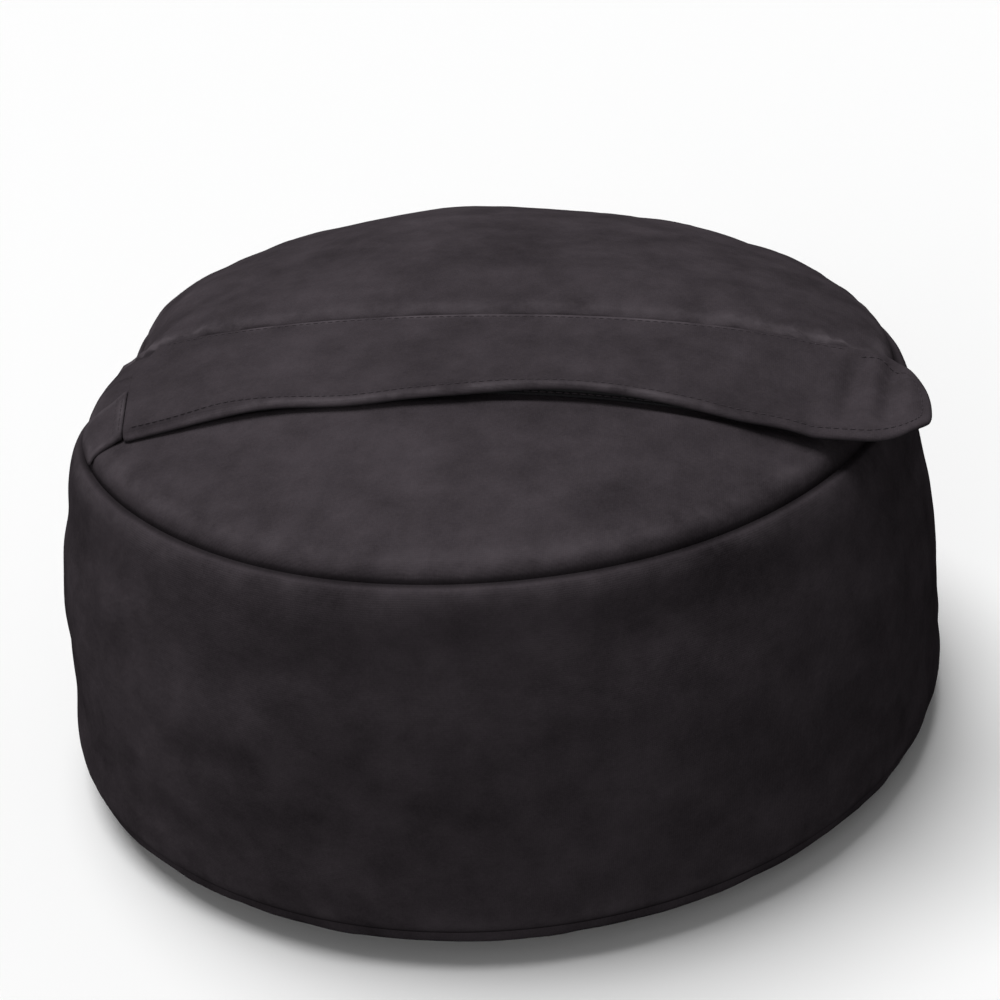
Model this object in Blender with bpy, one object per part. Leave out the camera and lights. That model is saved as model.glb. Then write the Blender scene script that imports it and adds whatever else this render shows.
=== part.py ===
"""Sandbag trainer: a drum-shaped nylon bag of sand whose fill opening is under a closure flap.

Metres, +Z up. The origin is in the middle of the base, on the floor. The flap runs along X over the
front half of the top: its free edge faces -Y, its tongue points to +X, and it is sewn down along its
far edge, about which it folds back. The slit and the zip lie under it.
"""
import math

import bmesh
import bpy
from mathutils import Matrix, Vector

# Shell
SEAM_RADIUS = 0.200
SEAM_HEIGHT = 0.183
WALL_BULGE = 0.0235
SEAM_PUFF = 0.004
WALL_TUCK = 0.003
TUCK_HEIGHT = 0.003
BASE_SEAM_HEIGHT = 0.018
BASE_FLAT_INSET = 0.020
SHELL_THICKNESS = 0.002
BULGE_POWER_SHARE = 3.2
PUFF_POWER_SHARE = 30.0

# Domed top: how high its middle line stands over the round seam
FRONT_RISE = 0.0435
CROWN_RISE = 0.050
SEAM_DIP_WIDTH = 0.016
SIDE_RUN = 0.050
FRONT_POWER_SHARE = 1.7
REAR_POWER_SHARE = 0.70
FRONT_SIDE_SHARE = 0.85
SEAM_SIDE_SHARE = 0.50
REAR_SIDE_SHARE = 0.65

# Slump: how far the filled bag leans and sags off round
FOOT_LEAN = 0.0033
FOOT_OVAL = 0.0051
SHOULDER_PULL = 0.017
SHOULDER_DROP = 0.003
REAR_SAG = 0.0037
FOOT_POWER_SHARE = 2.2
SHOULDER_LOW_SHARE = 0.52
SHOULDER_REACH_SHARE = 0.72
OVAL_TURN = math.radians(237.5)
SHOULDER_TURN = math.radians(180)
SHOULDER_SPREAD = math.radians(14)

# Closure flap
FLAP_SEAM_Y = -0.030
FLAP_WIDTH = 0.070
FLAP_END_SETBACK = 0.0152
FLAP_RIGHT_SHARE = 1.07
FLAP_LEAVE_SHARE = 0.80
FLAP_EDGE_RISE = 0.0064
TONGUE_CORNER = 0.032
TIP_LIFT = 0.0145
TIP_TILT = 0.010
FLAP_PLY = 0.0012
LINING_PLY = 0.0008
LINING_INSET = 0.004
HINGE_SETBACK = 0.0015
TONGUE_ROUND_SHARE = 2.4
DROOP_SHARE = 1.15

# Flap's left end, sewn down on the shoulder
ANCHOR_PLY = 0.0024
ANCHOR_GAP = 0.0015
ANCHOR_EDGE_INSET = 0.004
ANCHOR_FRONT_OVERRUN = 0.004
ANCHOR_REAR_SETBACK = 0.010

# Hook and loop tapes
TAPE_SLOT_CLEARANCE = 0.007
TAPE_END_INSET = 0.014
TAPE_EDGE_INSET = 0.003
HOOK_THICKNESS = 0.0022
LOOP_THICKNESS = 0.0022

# Sunk bed under the flap, which the tapes and the zip fill
BED_END_OVERRUN = 0.006
BED_RUN_OUT = 0.024
BED_LEAD_SHARE = 0.08
BED_BACK_SHARE = 0.88

# Zip
SLIT_SETBACK = 0.018
ZIP_END_INSET = 0.014
ZIP_TAPE_OVERRUN = 0.009
ZIP_TAPE_WIDTH = 0.0080
ZIP_TAPE_THICKNESS = 0.0008
CHAIN_WIDTH = 0.0028
CHAIN_THICKNESS = 0.0024
CHAIN_GAP = 0.0014
STOP_LENGTH = 0.0035
STOP_WIDTH = 0.0070
STOP_THICKNESS = 0.0032
SLOT_HALF_WIDTH = 0.007
SLOT_OVERRUN = 0.006

# Slider and its webbing tab
SLIDER_LENGTH = 0.015
SLIDER_WIDTH = 0.011
SLIDER_PLATE = 0.0012
SLIDER_CLEARANCE = 0.0005
SLIDER_POST_WIDTH = 0.0008
SLIDER_POST_LENGTH = 0.005
BAIL_WIDTH = 0.0098
BAIL_LENGTH = 0.003
BAIL_HEIGHT = 0.0033
BAIL_WALL = 0.0009
PULL_LENGTH = 0.034
PULL_WIDTH = 0.0068
PULL_THICKNESS = 0.0012
PULL_LIFT = 0.0008
PULL_TAIL = 0.004

# Inside the bag
BINDING_THICKNESS = 0.0015
BINDING_WIDTH = 0.009
INNER_GAP = 0.0005
SEAM_TAPE_THICKNESS = 0.001
FLAP_TAPE_WIDTH = 0.020
BASE_LAYER_INSET = 0.015
BASE_LAYER_THICKNESS = 0.0015
FUNNEL_END_OVERRUN = 0.010
FUNNEL_TOP_HALF_WIDTH = 0.0135
FUNNEL_NECK_DEPTH = 0.034
FUNNEL_DEPTH = 0.070
FUNNEL_PLY = 0.001
FUNNEL_TAPE_THICKNESS = 0.0022
FUNNEL_TAPE_HEIGHT = 0.025
FUNNEL_TAPE_END_INSET = 0.005
FUNNEL_TAPE_LIFT = 0.004
POCKET_CLEARANCE = 0.0015
POCKET_STEP_DEPTH = 0.024
SAND_INSET = 0.015
SAND_HEADROOM = 0.0058
SAND_GAP = 0.0006

# Fits and overruns
FIT_GAP = 0.0003
CUT_OVERRUN = 0.020
WELD_DISTANCE = 0.000002
SHARP_ANGLE = math.radians(38)

# Counts and spacings of the pieces' faces
SEGMENTS = 64
WALL_ROWS = 4
WALL_FOOT_SHARE = 9.0
WALL_HEAD_SHARE = 5.0
SIDE_TAPE_ROWS = 8
BASE_ROWS = 5
PANEL_COLUMNS = 22
SEAM_DIP_SHARES = (0.25, 0.75, 1.5, 2.5)
RIM_TURN_SHARE = 4.0
ROW_STEP = math.radians(6.5)
ROW_GAP = 0.0029
FLAP_ROWS = 8
FLAP_COLUMNS = 20
TONGUE_COLUMNS = 7
TAPE_ROWS = 3
TAPE_COLUMNS = 18
ANCHOR_ROWS = 10
ANCHOR_COLUMNS = 8
FLAP_TAPE_ROWS = 6
CHAIN_COLUMNS = 24
FUNNEL_COLUMNS = 14
FUNNEL_END_SEGMENTS = 4
SAND_ROWS = 5
SAND_STEP = math.radians(7.5)

# Places worked out from the sizes above
BASE_FLAT_RADIUS = SEAM_RADIUS - BASE_FLAT_INSET
BASE_LAYER_RADIUS = BASE_FLAT_RADIUS - BASE_LAYER_INSET
FLAP_NEAR_Y = FLAP_SEAM_Y - FLAP_WIDTH
FLAP_LEFT_REACH = math.sqrt(SEAM_RADIUS ** 2 - FLAP_NEAR_Y ** 2) - FLAP_END_SETBACK
FLAP_RIGHT_REACH = FLAP_RIGHT_SHARE * SEAM_RADIUS
FLAP_LEAVE_X = FLAP_LEAVE_SHARE * SEAM_RADIUS
SLIT_Y = FLAP_SEAM_Y - SLIT_SETBACK
ANCHOR_FRONT_Y = FLAP_NEAR_Y - ANCHOR_FRONT_OVERRUN
ANCHOR_REAR_Y = FLAP_SEAM_Y - ANCHOR_REAR_SETBACK
TAPE_WIDTH = FLAP_WIDTH - SLIT_SETBACK - SLOT_HALF_WIDTH - TAPE_SLOT_CLEARANCE
TAPE_HALF_LENGTH = FLAP_LEFT_REACH - TAPE_END_INSET
BED_HALF_LENGTH = TAPE_HALF_LENGTH + BED_END_OVERRUN
ZIP_HALF_LENGTH = TAPE_HALF_LENGTH - ZIP_END_INSET
SLIDER_REST_X = ZIP_HALF_LENGTH - SLIDER_LENGTH
FUNNEL_HALF_LENGTH = ZIP_HALF_LENGTH + FUNNEL_END_OVERRUN
FUNNEL_TAPE_HALF_LENGTH = ZIP_HALF_LENGTH - FUNNEL_TAPE_END_INSET
FLAP_PLIES = FLAP_PLY + LINING_PLY + FIT_GAP
FLAP_SEAM_RISE = FLAP_PLIES + 2 * FIT_GAP
STACK_HEIGHT = FLAP_PLIES + HOOK_THICKNESS + LOOP_THICKNESS + 2 * FIT_GAP + INNER_GAP
PANEL_SLACK = SHELL_THICKNESS + INNER_GAP
FUNNEL_NECK_HALF_WIDTH = FUNNEL_PLY + FUNNEL_TAPE_THICKNESS + 3 * FIT_GAP / 2


def clear_scene():
    """Remove whatever objects the scene holds."""
    for thing in list(bpy.data.objects):
        bpy.data.objects.remove(thing, do_unlink=True)


def make_material(name, colour, roughness, metallic=0.0):
    """Return a Principled material of one plain finish."""
    material = bpy.data.materials.new(name)
    material.use_nodes = True
    shader = material.node_tree.nodes["Principled BSDF"]
    shader.inputs["Base Color"].default_value = (*colour, 1.0)
    shader.inputs["Roughness"].default_value = roughness
    shader.inputs["Metallic"].default_value = metallic
    return material


def make_materials():
    """Return the part's finishes by name."""
    return {
        "shell_nylon": make_material("shell_nylon", (0.024, 0.020, 0.022), 0.85),
        "binding_tape": make_material("binding_tape", (0.016, 0.015, 0.016), 0.80),
        "hook_tape": make_material("hook_tape", (0.012, 0.012, 0.013), 0.60),
        "loop_tape": make_material("loop_tape", (0.018, 0.018, 0.019), 0.95),
        "zip_teeth": make_material("zip_teeth", (0.015, 0.015, 0.015), 0.45),
        "slider_metal": make_material("slider_metal", (0.05, 0.05, 0.052), 0.40, 1.0),
        "sand": make_material("sand", (0.52, 0.40, 0.26), 0.95),
    }


def finish_mesh(name, work, material, parent=None, slumps=True):
    """Weld, slump, orient and store a closed bmesh as a named object."""
    bmesh.ops.remove_doubles(work, verts=work.verts, dist=WELD_DISTANCE)
    origin = parent.location if parent else Vector((0.0, 0.0, 0.0))
    if slumps:
        for corner in work.verts:
            corner.co = slump(corner.co + origin) - origin
    bmesh.ops.recalc_face_normals(work, faces=work.faces)
    mesh = bpy.data.meshes.new(name)
    work.to_mesh(mesh)
    work.free()
    mesh.shade_smooth()
    mesh.set_sharp_from_angle(angle=SHARP_ANGLE)
    mesh.materials.append(material)
    thing = bpy.data.objects.new(name, mesh)
    bpy.context.collection.objects.link(thing)
    thing.parent = parent
    return thing


def make_empty(name, place):
    """Return an empty that carries moving pieces, placed on their joint's axis."""
    empty = bpy.data.objects.new(name, None)
    empty.location = place
    bpy.context.collection.objects.link(empty)
    return empty


def smooth_step(value, low, high):
    """Rise smoothly from 0 at low to 1 at high."""
    share = min(max((value - low) / (high - low), 0.0), 1.0)
    return share * share * (3.0 - 2.0 * share)


def mix(start, stop, share):
    """Return the value a share of the way from start to stop."""
    return start + (stop - start) * share


def steps(start, stop, count):
    """Return count + 1 even values from start to stop."""
    return [mix(start, stop, index / count) for index in range(count + 1)]


def slump(point):
    """Where a point of the round bag ends up once the sand has pulled the bag out of round."""
    reach = math.hypot(point.x, point.y)
    if reach < WELD_DISTANCE:
        return point.copy()
    turn = math.atan2(point.y, point.x)
    low = min(max(1.0 - point.z / SEAM_HEIGHT, 0.0), 1.0) ** FOOT_POWER_SHARE
    out = low * (FOOT_LEAN * math.cos(turn) + FOOT_OVAL * math.cos(2 * (turn - OVAL_TURN)))
    away = (turn - SHOULDER_TURN + math.pi) % (2 * math.pi) - math.pi
    pull = math.exp(-(away / SHOULDER_SPREAD) ** 2)
    pull *= smooth_step(point.z, SHOULDER_LOW_SHARE * SEAM_HEIGHT, SEAM_HEIGHT)
    pull *= smooth_step(reach, SHOULDER_REACH_SHARE * SEAM_RADIUS, SEAM_RADIUS)
    share = min(reach / SEAM_RADIUS, 1.0)
    scale = 1.0 + (out * share - SHOULDER_PULL * pull) / reach
    sag = REAR_SAG * point.z / SEAM_HEIGHT * smooth_step(point.y, 0.0, SEAM_RADIUS / 2)
    sag *= smooth_step(point.x, -SEAM_RADIUS / 4, SEAM_RADIUS / 4)
    return Vector((point.x * scale, point.y * scale, point.z - SHOULDER_DROP * pull - sag))


def wall_radius(z):
    """Outer radius of the side wall at height z, bulging and tucked in at both seams."""
    bulge = WALL_BULGE * (1.0 - (z / SEAM_HEIGHT) ** BULGE_POWER_SHARE)
    upper = WALL_TUCK * (1.0 - math.exp(-(SEAM_HEIGHT - z) / TUCK_HEIGHT))
    lower = WALL_TUCK * math.exp(-(z - BASE_SEAM_HEIGHT) / TUCK_HEIGHT)
    return SEAM_RADIUS + bulge + upper - lower


def chord_half(y):
    """Half the width of the top at y, inside the round seam."""
    return math.sqrt(max(SEAM_RADIUS ** 2 - y * y, 0.0))


def front_line(y):
    """Rise of the dome's middle line where the front form holds."""
    share = min(abs(y) / SEAM_RADIUS, 1.0)
    return (FRONT_RISE - SEAM_PUFF) * (1.0 - share ** FRONT_POWER_SHARE)


def rear_line(y):
    """Rise of the dome's middle line where the rear form holds."""
    share = min(abs(y) / SEAM_RADIUS, 1.0)
    return (CROWN_RISE - SEAM_PUFF) * (1.0 - share * share) ** REAR_POWER_SHARE


def crown_line(y):
    """Rise of the dome's middle line: the rear swells up behind the flap's seam."""
    if y <= FLAP_SEAM_Y:
        return front_line(y)
    dip = rear_line(FLAP_SEAM_Y) - front_line(FLAP_SEAM_Y)
    return max(rear_line(y) - dip * math.exp(-(y - FLAP_SEAM_Y) / SEAM_DIP_WIDTH), 0.0)


def side_power(y):
    """How squarely the dome falls away to both sides along the chord at y."""
    if y <= FLAP_SEAM_Y:
        return mix(FRONT_SIDE_SHARE, SEAM_SIDE_SHARE, smooth_step(y, FLAP_NEAR_Y, FLAP_SEAM_Y))
    return mix(SEAM_SIDE_SHARE, REAR_SIDE_SHARE, smooth_step(y, FLAP_SEAM_Y, FLAP_SEAM_Y + SIDE_RUN))


def dome_height(x, y):
    """Height of the top, as if nothing lay under the flap."""
    half = chord_half(y)
    share = min(abs(x) / half, 1.0) if half > WELD_DISTANCE else 1.0
    reach = min(math.hypot(x, y) / SEAM_RADIUS, 1.0)
    puff = SEAM_PUFF * (1.0 - reach ** PUFF_POWER_SHARE)
    return SEAM_HEIGHT + puff + crown_line(y) * (1.0 - share * share) ** side_power(y)


def flap_share(y):
    """Place across the flap: 0 on its free edge, 1 on its seam."""
    return (y - FLAP_NEAR_Y) / FLAP_WIDTH


def flap_rise(y):
    """How far the flap's face stands over the dome."""
    return mix(FLAP_EDGE_RISE, FLAP_SEAM_RISE, min(max(flap_share(y), 0.0), 1.0))


def bed_depth(x, y):
    """How far the top is sunk under the flap."""
    share = flap_share(y)
    across = smooth_step(share, -BED_LEAD_SHARE, 0.0) * (1.0 - smooth_step(share, BED_BACK_SHARE, 1.0))
    along = 1.0 - smooth_step(abs(x), BED_HALF_LENGTH, BED_HALF_LENGTH + BED_RUN_OUT)
    return across * along * (STACK_HEIGHT - flap_rise(y))


def panel_height(x, y):
    """Height of the top panels' outer face."""
    return dome_height(x, y) - bed_depth(x, y)


def flap_height(x, y):
    """Height of the flap's face: over the dome, then out over the shoulder to the tongue's tip."""
    if x <= FLAP_LEAVE_X:
        return dome_height(x, y) + flap_rise(y)
    start = dome_height(FLAP_LEAVE_X, y) + flap_rise(y)
    tip = SEAM_HEIGHT + TIP_LIFT + TIP_TILT * (flap_share(y) - 0.5)
    share = min((x - FLAP_LEAVE_X) / (FLAP_RIGHT_REACH - FLAP_LEAVE_X), 1.0)
    return tip + (start - tip) * (1.0 - share) ** DROOP_SHARE


def slab(outer, inner):
    """Close two grids of points, one over the other, into one bmesh body."""
    work = bmesh.new()
    sheets = [[[work.verts.new(point) for point in row] for row in grid] for grid in (outer, inner)]
    rows = len(outer)
    columns = len(outer[0])
    for sheet in sheets:
        for i in range(rows - 1):
            for j in range(columns - 1):
                work.faces.new((sheet[i][j], sheet[i][j + 1], sheet[i + 1][j + 1], sheet[i + 1][j]))
    top, bottom = sheets
    for i in (0, rows - 1):
        for j in range(columns - 1):
            work.faces.new((top[i][j], top[i][j + 1], bottom[i][j + 1], bottom[i][j]))
    for j in (0, columns - 1):
        for i in range(rows - 1):
            work.faces.new((top[i][j], top[i + 1][j], bottom[i + 1][j], bottom[i][j]))
    return work


def turned(outline, closed_ring):
    """Turn an outline of (radius, height) points about Z; a ring's outline is closed, a disc's isn't."""
    work = bmesh.new()
    turns = []
    for index in range(SEGMENTS):
        angle = 2 * math.pi * index / SEGMENTS
        turns.append([work.verts.new((r * math.cos(angle), r * math.sin(angle), z)) for r, z in outline])
    count = len(outline) if closed_ring else len(outline) - 1
    for index in range(SEGMENTS):
        here = turns[index]
        after = turns[(index + 1) % SEGMENTS]
        for k in range(count):
            n = (k + 1) % len(outline)
            work.faces.new((here[k], after[k], after[n], here[n]))
    return work


def box(name, low, high, material, parent=None):
    """Return a plain box between two corners."""
    work = bmesh.new()
    size = Vector(high) - Vector(low)
    bmesh.ops.create_cube(work, size=1.0)
    bmesh.ops.scale(work, vec=size, verts=work.verts)
    bmesh.ops.translate(work, vec=Vector(low) + size / 2, verts=work.verts)
    return finish_mesh(name, work, material, parent, slumps=False)


def combine(target, tool, operation):
    """Cut or join a hidden tool into the target with a live Boolean."""
    tool.hide_render = True
    tool.display_type = "WIRE"
    modifier = target.modifiers.new(tool.name, "BOOLEAN")
    modifier.operation = operation
    modifier.solver = "EXACT"
    modifier.object = tool


def make_side_wall(materials):
    """The bulging side wall, one strip sewn into a tube."""
    low = BASE_SEAM_HEIGHT + FIT_GAP / 2
    high = SEAM_HEIGHT - FIT_GAP / 2
    edges = [0.0, 2 * TUCK_HEIGHT / 3, 2 * TUCK_HEIGHT]
    heights = [low + edge for edge in edges]
    heights += steps(low + WALL_FOOT_SHARE * TUCK_HEIGHT, high - WALL_HEAD_SHARE * TUCK_HEIGHT, WALL_ROWS)
    heights += [high - edge for edge in reversed(edges)]
    outer = [(wall_radius(z), z) for z in heights]
    inner = [(r - SHELL_THICKNESS, z) for r, z in reversed(outer)]
    finish_mesh("side_wall", turned(outer + inner, True), materials["shell_nylon"])


def make_side_seam_tape(materials):
    """Tape inside the wall's one upright seam, at the back."""
    facet = 2 * math.pi / SEGMENTS
    angles = [math.pi / 2 + facet * index for index in (-1, 0, 1)]
    margin = BINDING_WIDTH + 2 * FIT_GAP + TUCK_HEIGHT
    outer, inner = [], []
    for z in steps(BASE_SEAM_HEIGHT + margin, SEAM_HEIGHT - margin, SIDE_TAPE_ROWS):
        radius = wall_radius(z) - SHELL_THICKNESS - INNER_GAP
        outer.append([(radius * math.cos(a), radius * math.sin(a), z) for a in angles])
        radius -= SEAM_TAPE_THICKNESS
        inner.append([(radius * math.cos(a), radius * math.sin(a), z) for a in angles])
    finish_mesh("side_seam_tape", slab(outer, inner), materials["binding_tape"])


def base_curve(edge_radius, low, high, count):
    """Points of the base's turned-up rim, from its flat to its edge."""
    points = []
    for angle in steps(0.0, math.pi / 2, count):
        radius = mix(BASE_FLAT_RADIUS, edge_radius, math.sin(angle))
        points.append((radius, mix(low, high, 1.0 - math.cos(angle))))
    return points


def make_base(materials):
    """The base panel with its turned-up rim, and the second layer inside it."""
    edge = wall_radius(BASE_SEAM_HEIGHT + FIT_GAP / 2)
    high = BASE_SEAM_HEIGHT - FIT_GAP / 2
    outer = base_curve(edge, 0.0, high, BASE_ROWS)
    inner = base_curve(edge - SHELL_THICKNESS, SHELL_THICKNESS, high, BASE_ROWS)
    outline = [(0.0, 0.0)] + outer + list(reversed(inner)) + [(0.0, SHELL_THICKNESS)]
    finish_mesh("base_panel", turned(outline, False), materials["shell_nylon"])
    low = SHELL_THICKNESS + FIT_GAP
    top = low + BASE_LAYER_THICKNESS
    outline = [(0.0, low), (BASE_LAYER_RADIUS, low), (BASE_LAYER_RADIUS, top), (0.0, top)]
    finish_mesh("base_reinforcement", turned(outline, False), materials["shell_nylon"])


def make_binding(name, radius, low, materials):
    """A ring of tape folded over the raw edges inside a seam."""
    inner = radius - BINDING_THICKNESS
    high = low + BINDING_WIDTH
    outline = [(radius, low), (radius, high), (inner, high), (inner, low)]
    finish_mesh(name, turned(outline, True), materials["binding_tape"])


def make_bindings(materials):
    """Bindings inside the round top seam and the base seam."""
    top = SEAM_RADIUS - SHELL_THICKNESS - INNER_GAP
    make_binding("top_seam_binding", top, SEAM_HEIGHT - INNER_GAP - BINDING_WIDTH, materials)
    base = wall_radius(BASE_SEAM_HEIGHT) - SHELL_THICKNESS - INNER_GAP
    make_binding("base_seam_binding", base, BASE_SEAM_HEIGHT + INNER_GAP, materials)


def panel_rows(low, high, extras):
    """Y of a panel's rows: even in angle along the round seam, with extra rows kept as they are."""
    first = math.asin(low / SEAM_RADIUS)
    last = math.asin(high / SEAM_RADIUS)
    count = round((last - first) / ROW_STEP)
    kept = [low, high] + extras
    rows = list(kept)
    for angle in steps(first, last, count):
        y = SEAM_RADIUS * math.sin(angle)
        if all(abs(y - other) > ROW_GAP for other in kept):
            rows.append(y)
    return sorted(rows)


def surface_normal(x, y):
    """Upward normal of the top panels at a place."""
    step = SHELL_THICKNESS / 2
    across = (panel_height(x + step, y) - panel_height(x - step, y)) / (2 * step)
    along = (panel_height(x, y + step) - panel_height(x, y - step)) / (2 * step)
    return Vector((-across, -along, 1.0)).normalized()


def panel_point(x, y, straight_edge):
    """Outer and inner point of a top panel; its cut edge stays upright and its rim faces outwards."""
    reach = math.hypot(x, y)
    rim = smooth_step(reach, SEAM_RADIUS - SHELL_THICKNESS * RIM_TURN_SHARE, SEAM_RADIUS)
    normal = surface_normal(x * (1.0 - rim / SEGMENTS), y * (1.0 - rim / SEGMENTS))
    if straight_edge:
        normal = Vector((normal.x, 0.0, normal.z)).normalized()
    if reach > 0.0:
        outwards = Vector((x, y, 0.0)) / reach
        normal = normal.lerp(outwards, rim).normalized()
    outer = Vector((x, y, panel_height(x, y) + FIT_GAP / 2))
    inner = outer - normal * SHELL_THICKNESS
    inner.z = max(inner.z, SEAM_HEIGHT + FIT_GAP / 2)
    if straight_edge:
        inner.y = y
    return outer, inner


def make_top_panel(name, rows, slit_y, materials):
    """One half of the domed top."""
    outer, inner = [], []
    for y in rows:
        half = chord_half(y)
        pairs = []
        for angle in steps(-math.pi / 2, math.pi / 2, PANEL_COLUMNS):
            pairs.append(panel_point(half * math.sin(angle), y, y == slit_y))
        outer.append([pair[0] for pair in pairs])
        inner.append([pair[1] for pair in pairs])
    return finish_mesh(name, slab(outer, inner), materials["shell_nylon"])


def make_top_panels(materials):
    """Front and rear top panels, with the zip's slot cut from the edges where they meet."""
    front_edge = SLIT_Y - FIT_GAP / 2
    rear_edge = SLIT_Y + FIT_GAP / 2
    lead = FLAP_NEAR_Y - BED_LEAD_SHARE * FLAP_WIDTH
    front_rows = panel_rows(-SEAM_RADIUS, front_edge, [lead, FLAP_NEAR_Y])
    back_start = FLAP_NEAR_Y + BED_BACK_SHARE * FLAP_WIDTH
    extras = [back_start, (back_start + FLAP_SEAM_Y) / 2, FLAP_SEAM_Y]
    extras += [FLAP_SEAM_Y + SEAM_DIP_WIDTH * share for share in SEAM_DIP_SHARES]
    rear_rows = panel_rows(rear_edge, SEAM_RADIUS, extras)
    front = make_top_panel("top_panel_front", front_rows, front_edge, materials)
    rear = make_top_panel("top_panel_rear", rear_rows, rear_edge, materials)
    half = ZIP_HALF_LENGTH + SLOT_OVERRUN
    for panel in (front, rear):
        low = (-half, SLIT_Y - SLOT_HALF_WIDTH, SEAM_HEIGHT)
        high = (half, SLIT_Y + SLOT_HALF_WIDTH, SEAM_HEIGHT + CROWN_RISE + CUT_OVERRUN)
        slot = box("slot_cutter_" + panel.name, low, high, materials["shell_nylon"])
        combine(panel, slot, "DIFFERENCE")


def sheet(name, xs, ys, height, thickness, material, parent=None):
    """A thin piece over a plan grid: xs(y) gives a row's places, height(x, y) its upper face."""
    origin = parent.location if parent else Vector((0.0, 0.0, 0.0))
    outer, inner = [], []
    for y in ys:
        upper = [Vector((x, y, height(x, y))) - origin for x in xs(y)]
        outer.append(upper)
        inner.append([point - Vector((0.0, 0.0, thickness)) for point in upper])
    return finish_mesh(name, slab(outer, inner), material, parent)


def flap_end_x(y, inset):
    """Right end of the flap's row at y: the tongue's rounded outline, moved in by an inset."""
    half = FLAP_WIDTH / 2 - inset
    share = min(abs(y - (FLAP_NEAR_Y + FLAP_WIDTH / 2)) / half, 1.0)
    corner = TONGUE_CORNER * (1.0 - (1.0 - share ** TONGUE_ROUND_SHARE) ** (1.0 / TONGUE_ROUND_SHARE))
    return FLAP_RIGHT_REACH - inset - corner


def flap_rows(inset):
    """Y of the flap's rows, closer together at its two edges, where the tongue turns."""
    low = FLAP_NEAR_Y + inset
    high = FLAP_SEAM_Y - HINGE_SETBACK - inset
    return [mix(low, high, (1.0 - math.cos(angle)) / 2) for angle in steps(0.0, math.pi, FLAP_ROWS)]


def make_flap(materials):
    """The flap's outer ply, its lining and the hook tape, on an empty on the flap's fold line."""
    hinge = make_empty("flap_hinge", (0.0, FLAP_SEAM_Y, flap_height(0.0, FLAP_SEAM_Y)))

    def places(inset):
        over_dome = steps(-FLAP_LEFT_REACH + inset, FLAP_LEAVE_X, FLAP_COLUMNS)
        return lambda y: over_dome[:-1] + steps(FLAP_LEAVE_X, flap_end_x(y, inset), TONGUE_COLUMNS)

    def height(drop):
        return lambda x, y: flap_height(x, y) - drop

    nylon = materials["shell_nylon"]
    sheet("closure_flap", places(0.0), flap_rows(0.0), height(0.0), FLAP_PLY, nylon, hinge)
    drop = FLAP_PLY + FIT_GAP
    rows = flap_rows(LINING_INSET)
    sheet("flap_lining", places(LINING_INSET), rows, height(drop), LINING_PLY, nylon, hinge)
    drop += LINING_PLY + FIT_GAP
    sheet("hook_tape", tape_places, tape_rows(LINING_INSET), height(drop), HOOK_THICKNESS,
          materials["hook_tape"], hinge)


def tape_places(y):
    """X places along the hook and loop tapes."""
    return steps(-TAPE_HALF_LENGTH, TAPE_HALF_LENGTH, TAPE_COLUMNS)


def tape_rows(inset):
    """Y rows of a hook or loop tape that starts an inset behind the flap's free edge."""
    low = FLAP_NEAR_Y + inset
    return steps(low, low + TAPE_WIDTH - inset, TAPE_ROWS)


def make_loop_tape(materials):
    """Loop tape sewn on the front panel, under the hook tape."""
    drop = FLAP_PLIES + HOOK_THICKNESS + 2 * FIT_GAP
    sheet("loop_tape", tape_places, tape_rows(TAPE_EDGE_INSET),
          lambda x, y: flap_height(x, y) - drop, LOOP_THICKNESS, materials["loop_tape"])


def make_flap_anchor(materials):
    """The flap's left end, sewn down over the shoulder and into the round seam."""
    inner_x = -FLAP_LEFT_REACH - ANCHOR_GAP

    def places(y):
        return steps(-(chord_half(y) - ANCHOR_EDGE_INSET), inner_x, ANCHOR_COLUMNS)

    def height(x, y):
        share = (x + chord_half(y) - ANCHOR_EDGE_INSET) / (inner_x + chord_half(y) - ANCHOR_EDGE_INSET)
        seated = panel_height(x, y) + INNER_GAP + ANCHOR_PLY
        return mix(seated, max(flap_height(inner_x, y), seated), smooth_step(share, 0.0, 1.0))

    sheet("flap_anchor", places, steps(ANCHOR_FRONT_Y, ANCHOR_REAR_Y, ANCHOR_ROWS), height, ANCHOR_PLY,
          materials["shell_nylon"])


def make_flap_seam_tape(materials):
    """Tape inside the rear panel, behind the flap's stitching."""
    low = FLAP_SEAM_Y
    sheet("flap_seam_tape", tape_places, steps(low, low + FLAP_TAPE_WIDTH, FLAP_TAPE_ROWS),
          lambda x, y: panel_height(x, y) - PANEL_SLACK - INNER_GAP, SEAM_TAPE_THICKNESS,
          materials["binding_tape"])


def zip_arc():
    """Radius and centre height of the arc that the zip's chain follows."""
    drop = PANEL_SLACK + ZIP_TAPE_THICKNESS / 2
    crown = panel_height(0.0, SLIT_Y) - drop
    sag = panel_height(0.0, SLIT_Y) - panel_height(ZIP_HALF_LENGTH, SLIT_Y)
    radius = (ZIP_HALF_LENGTH ** 2 + sag ** 2) / (2 * sag)
    return radius, crown - radius


def arc_bar(name, low_x, high_x, low_y, high_y, thickness, count, material):
    """A bar bent along the zip's arc, given by its ends in X and its sides in Y."""
    radius, centre = zip_arc()
    angles = steps(math.asin(low_x / radius), math.asin(high_x / radius), count)
    grids = []
    for side in (radius + thickness / 2, radius - thickness / 2):
        grid = []
        for y in (low_y, high_y):
            grid.append([(side * math.sin(a), y, centre + side * math.cos(a)) for a in angles])
        grids.append(grid)
    finish_mesh(name, slab(*grids), material)


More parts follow.
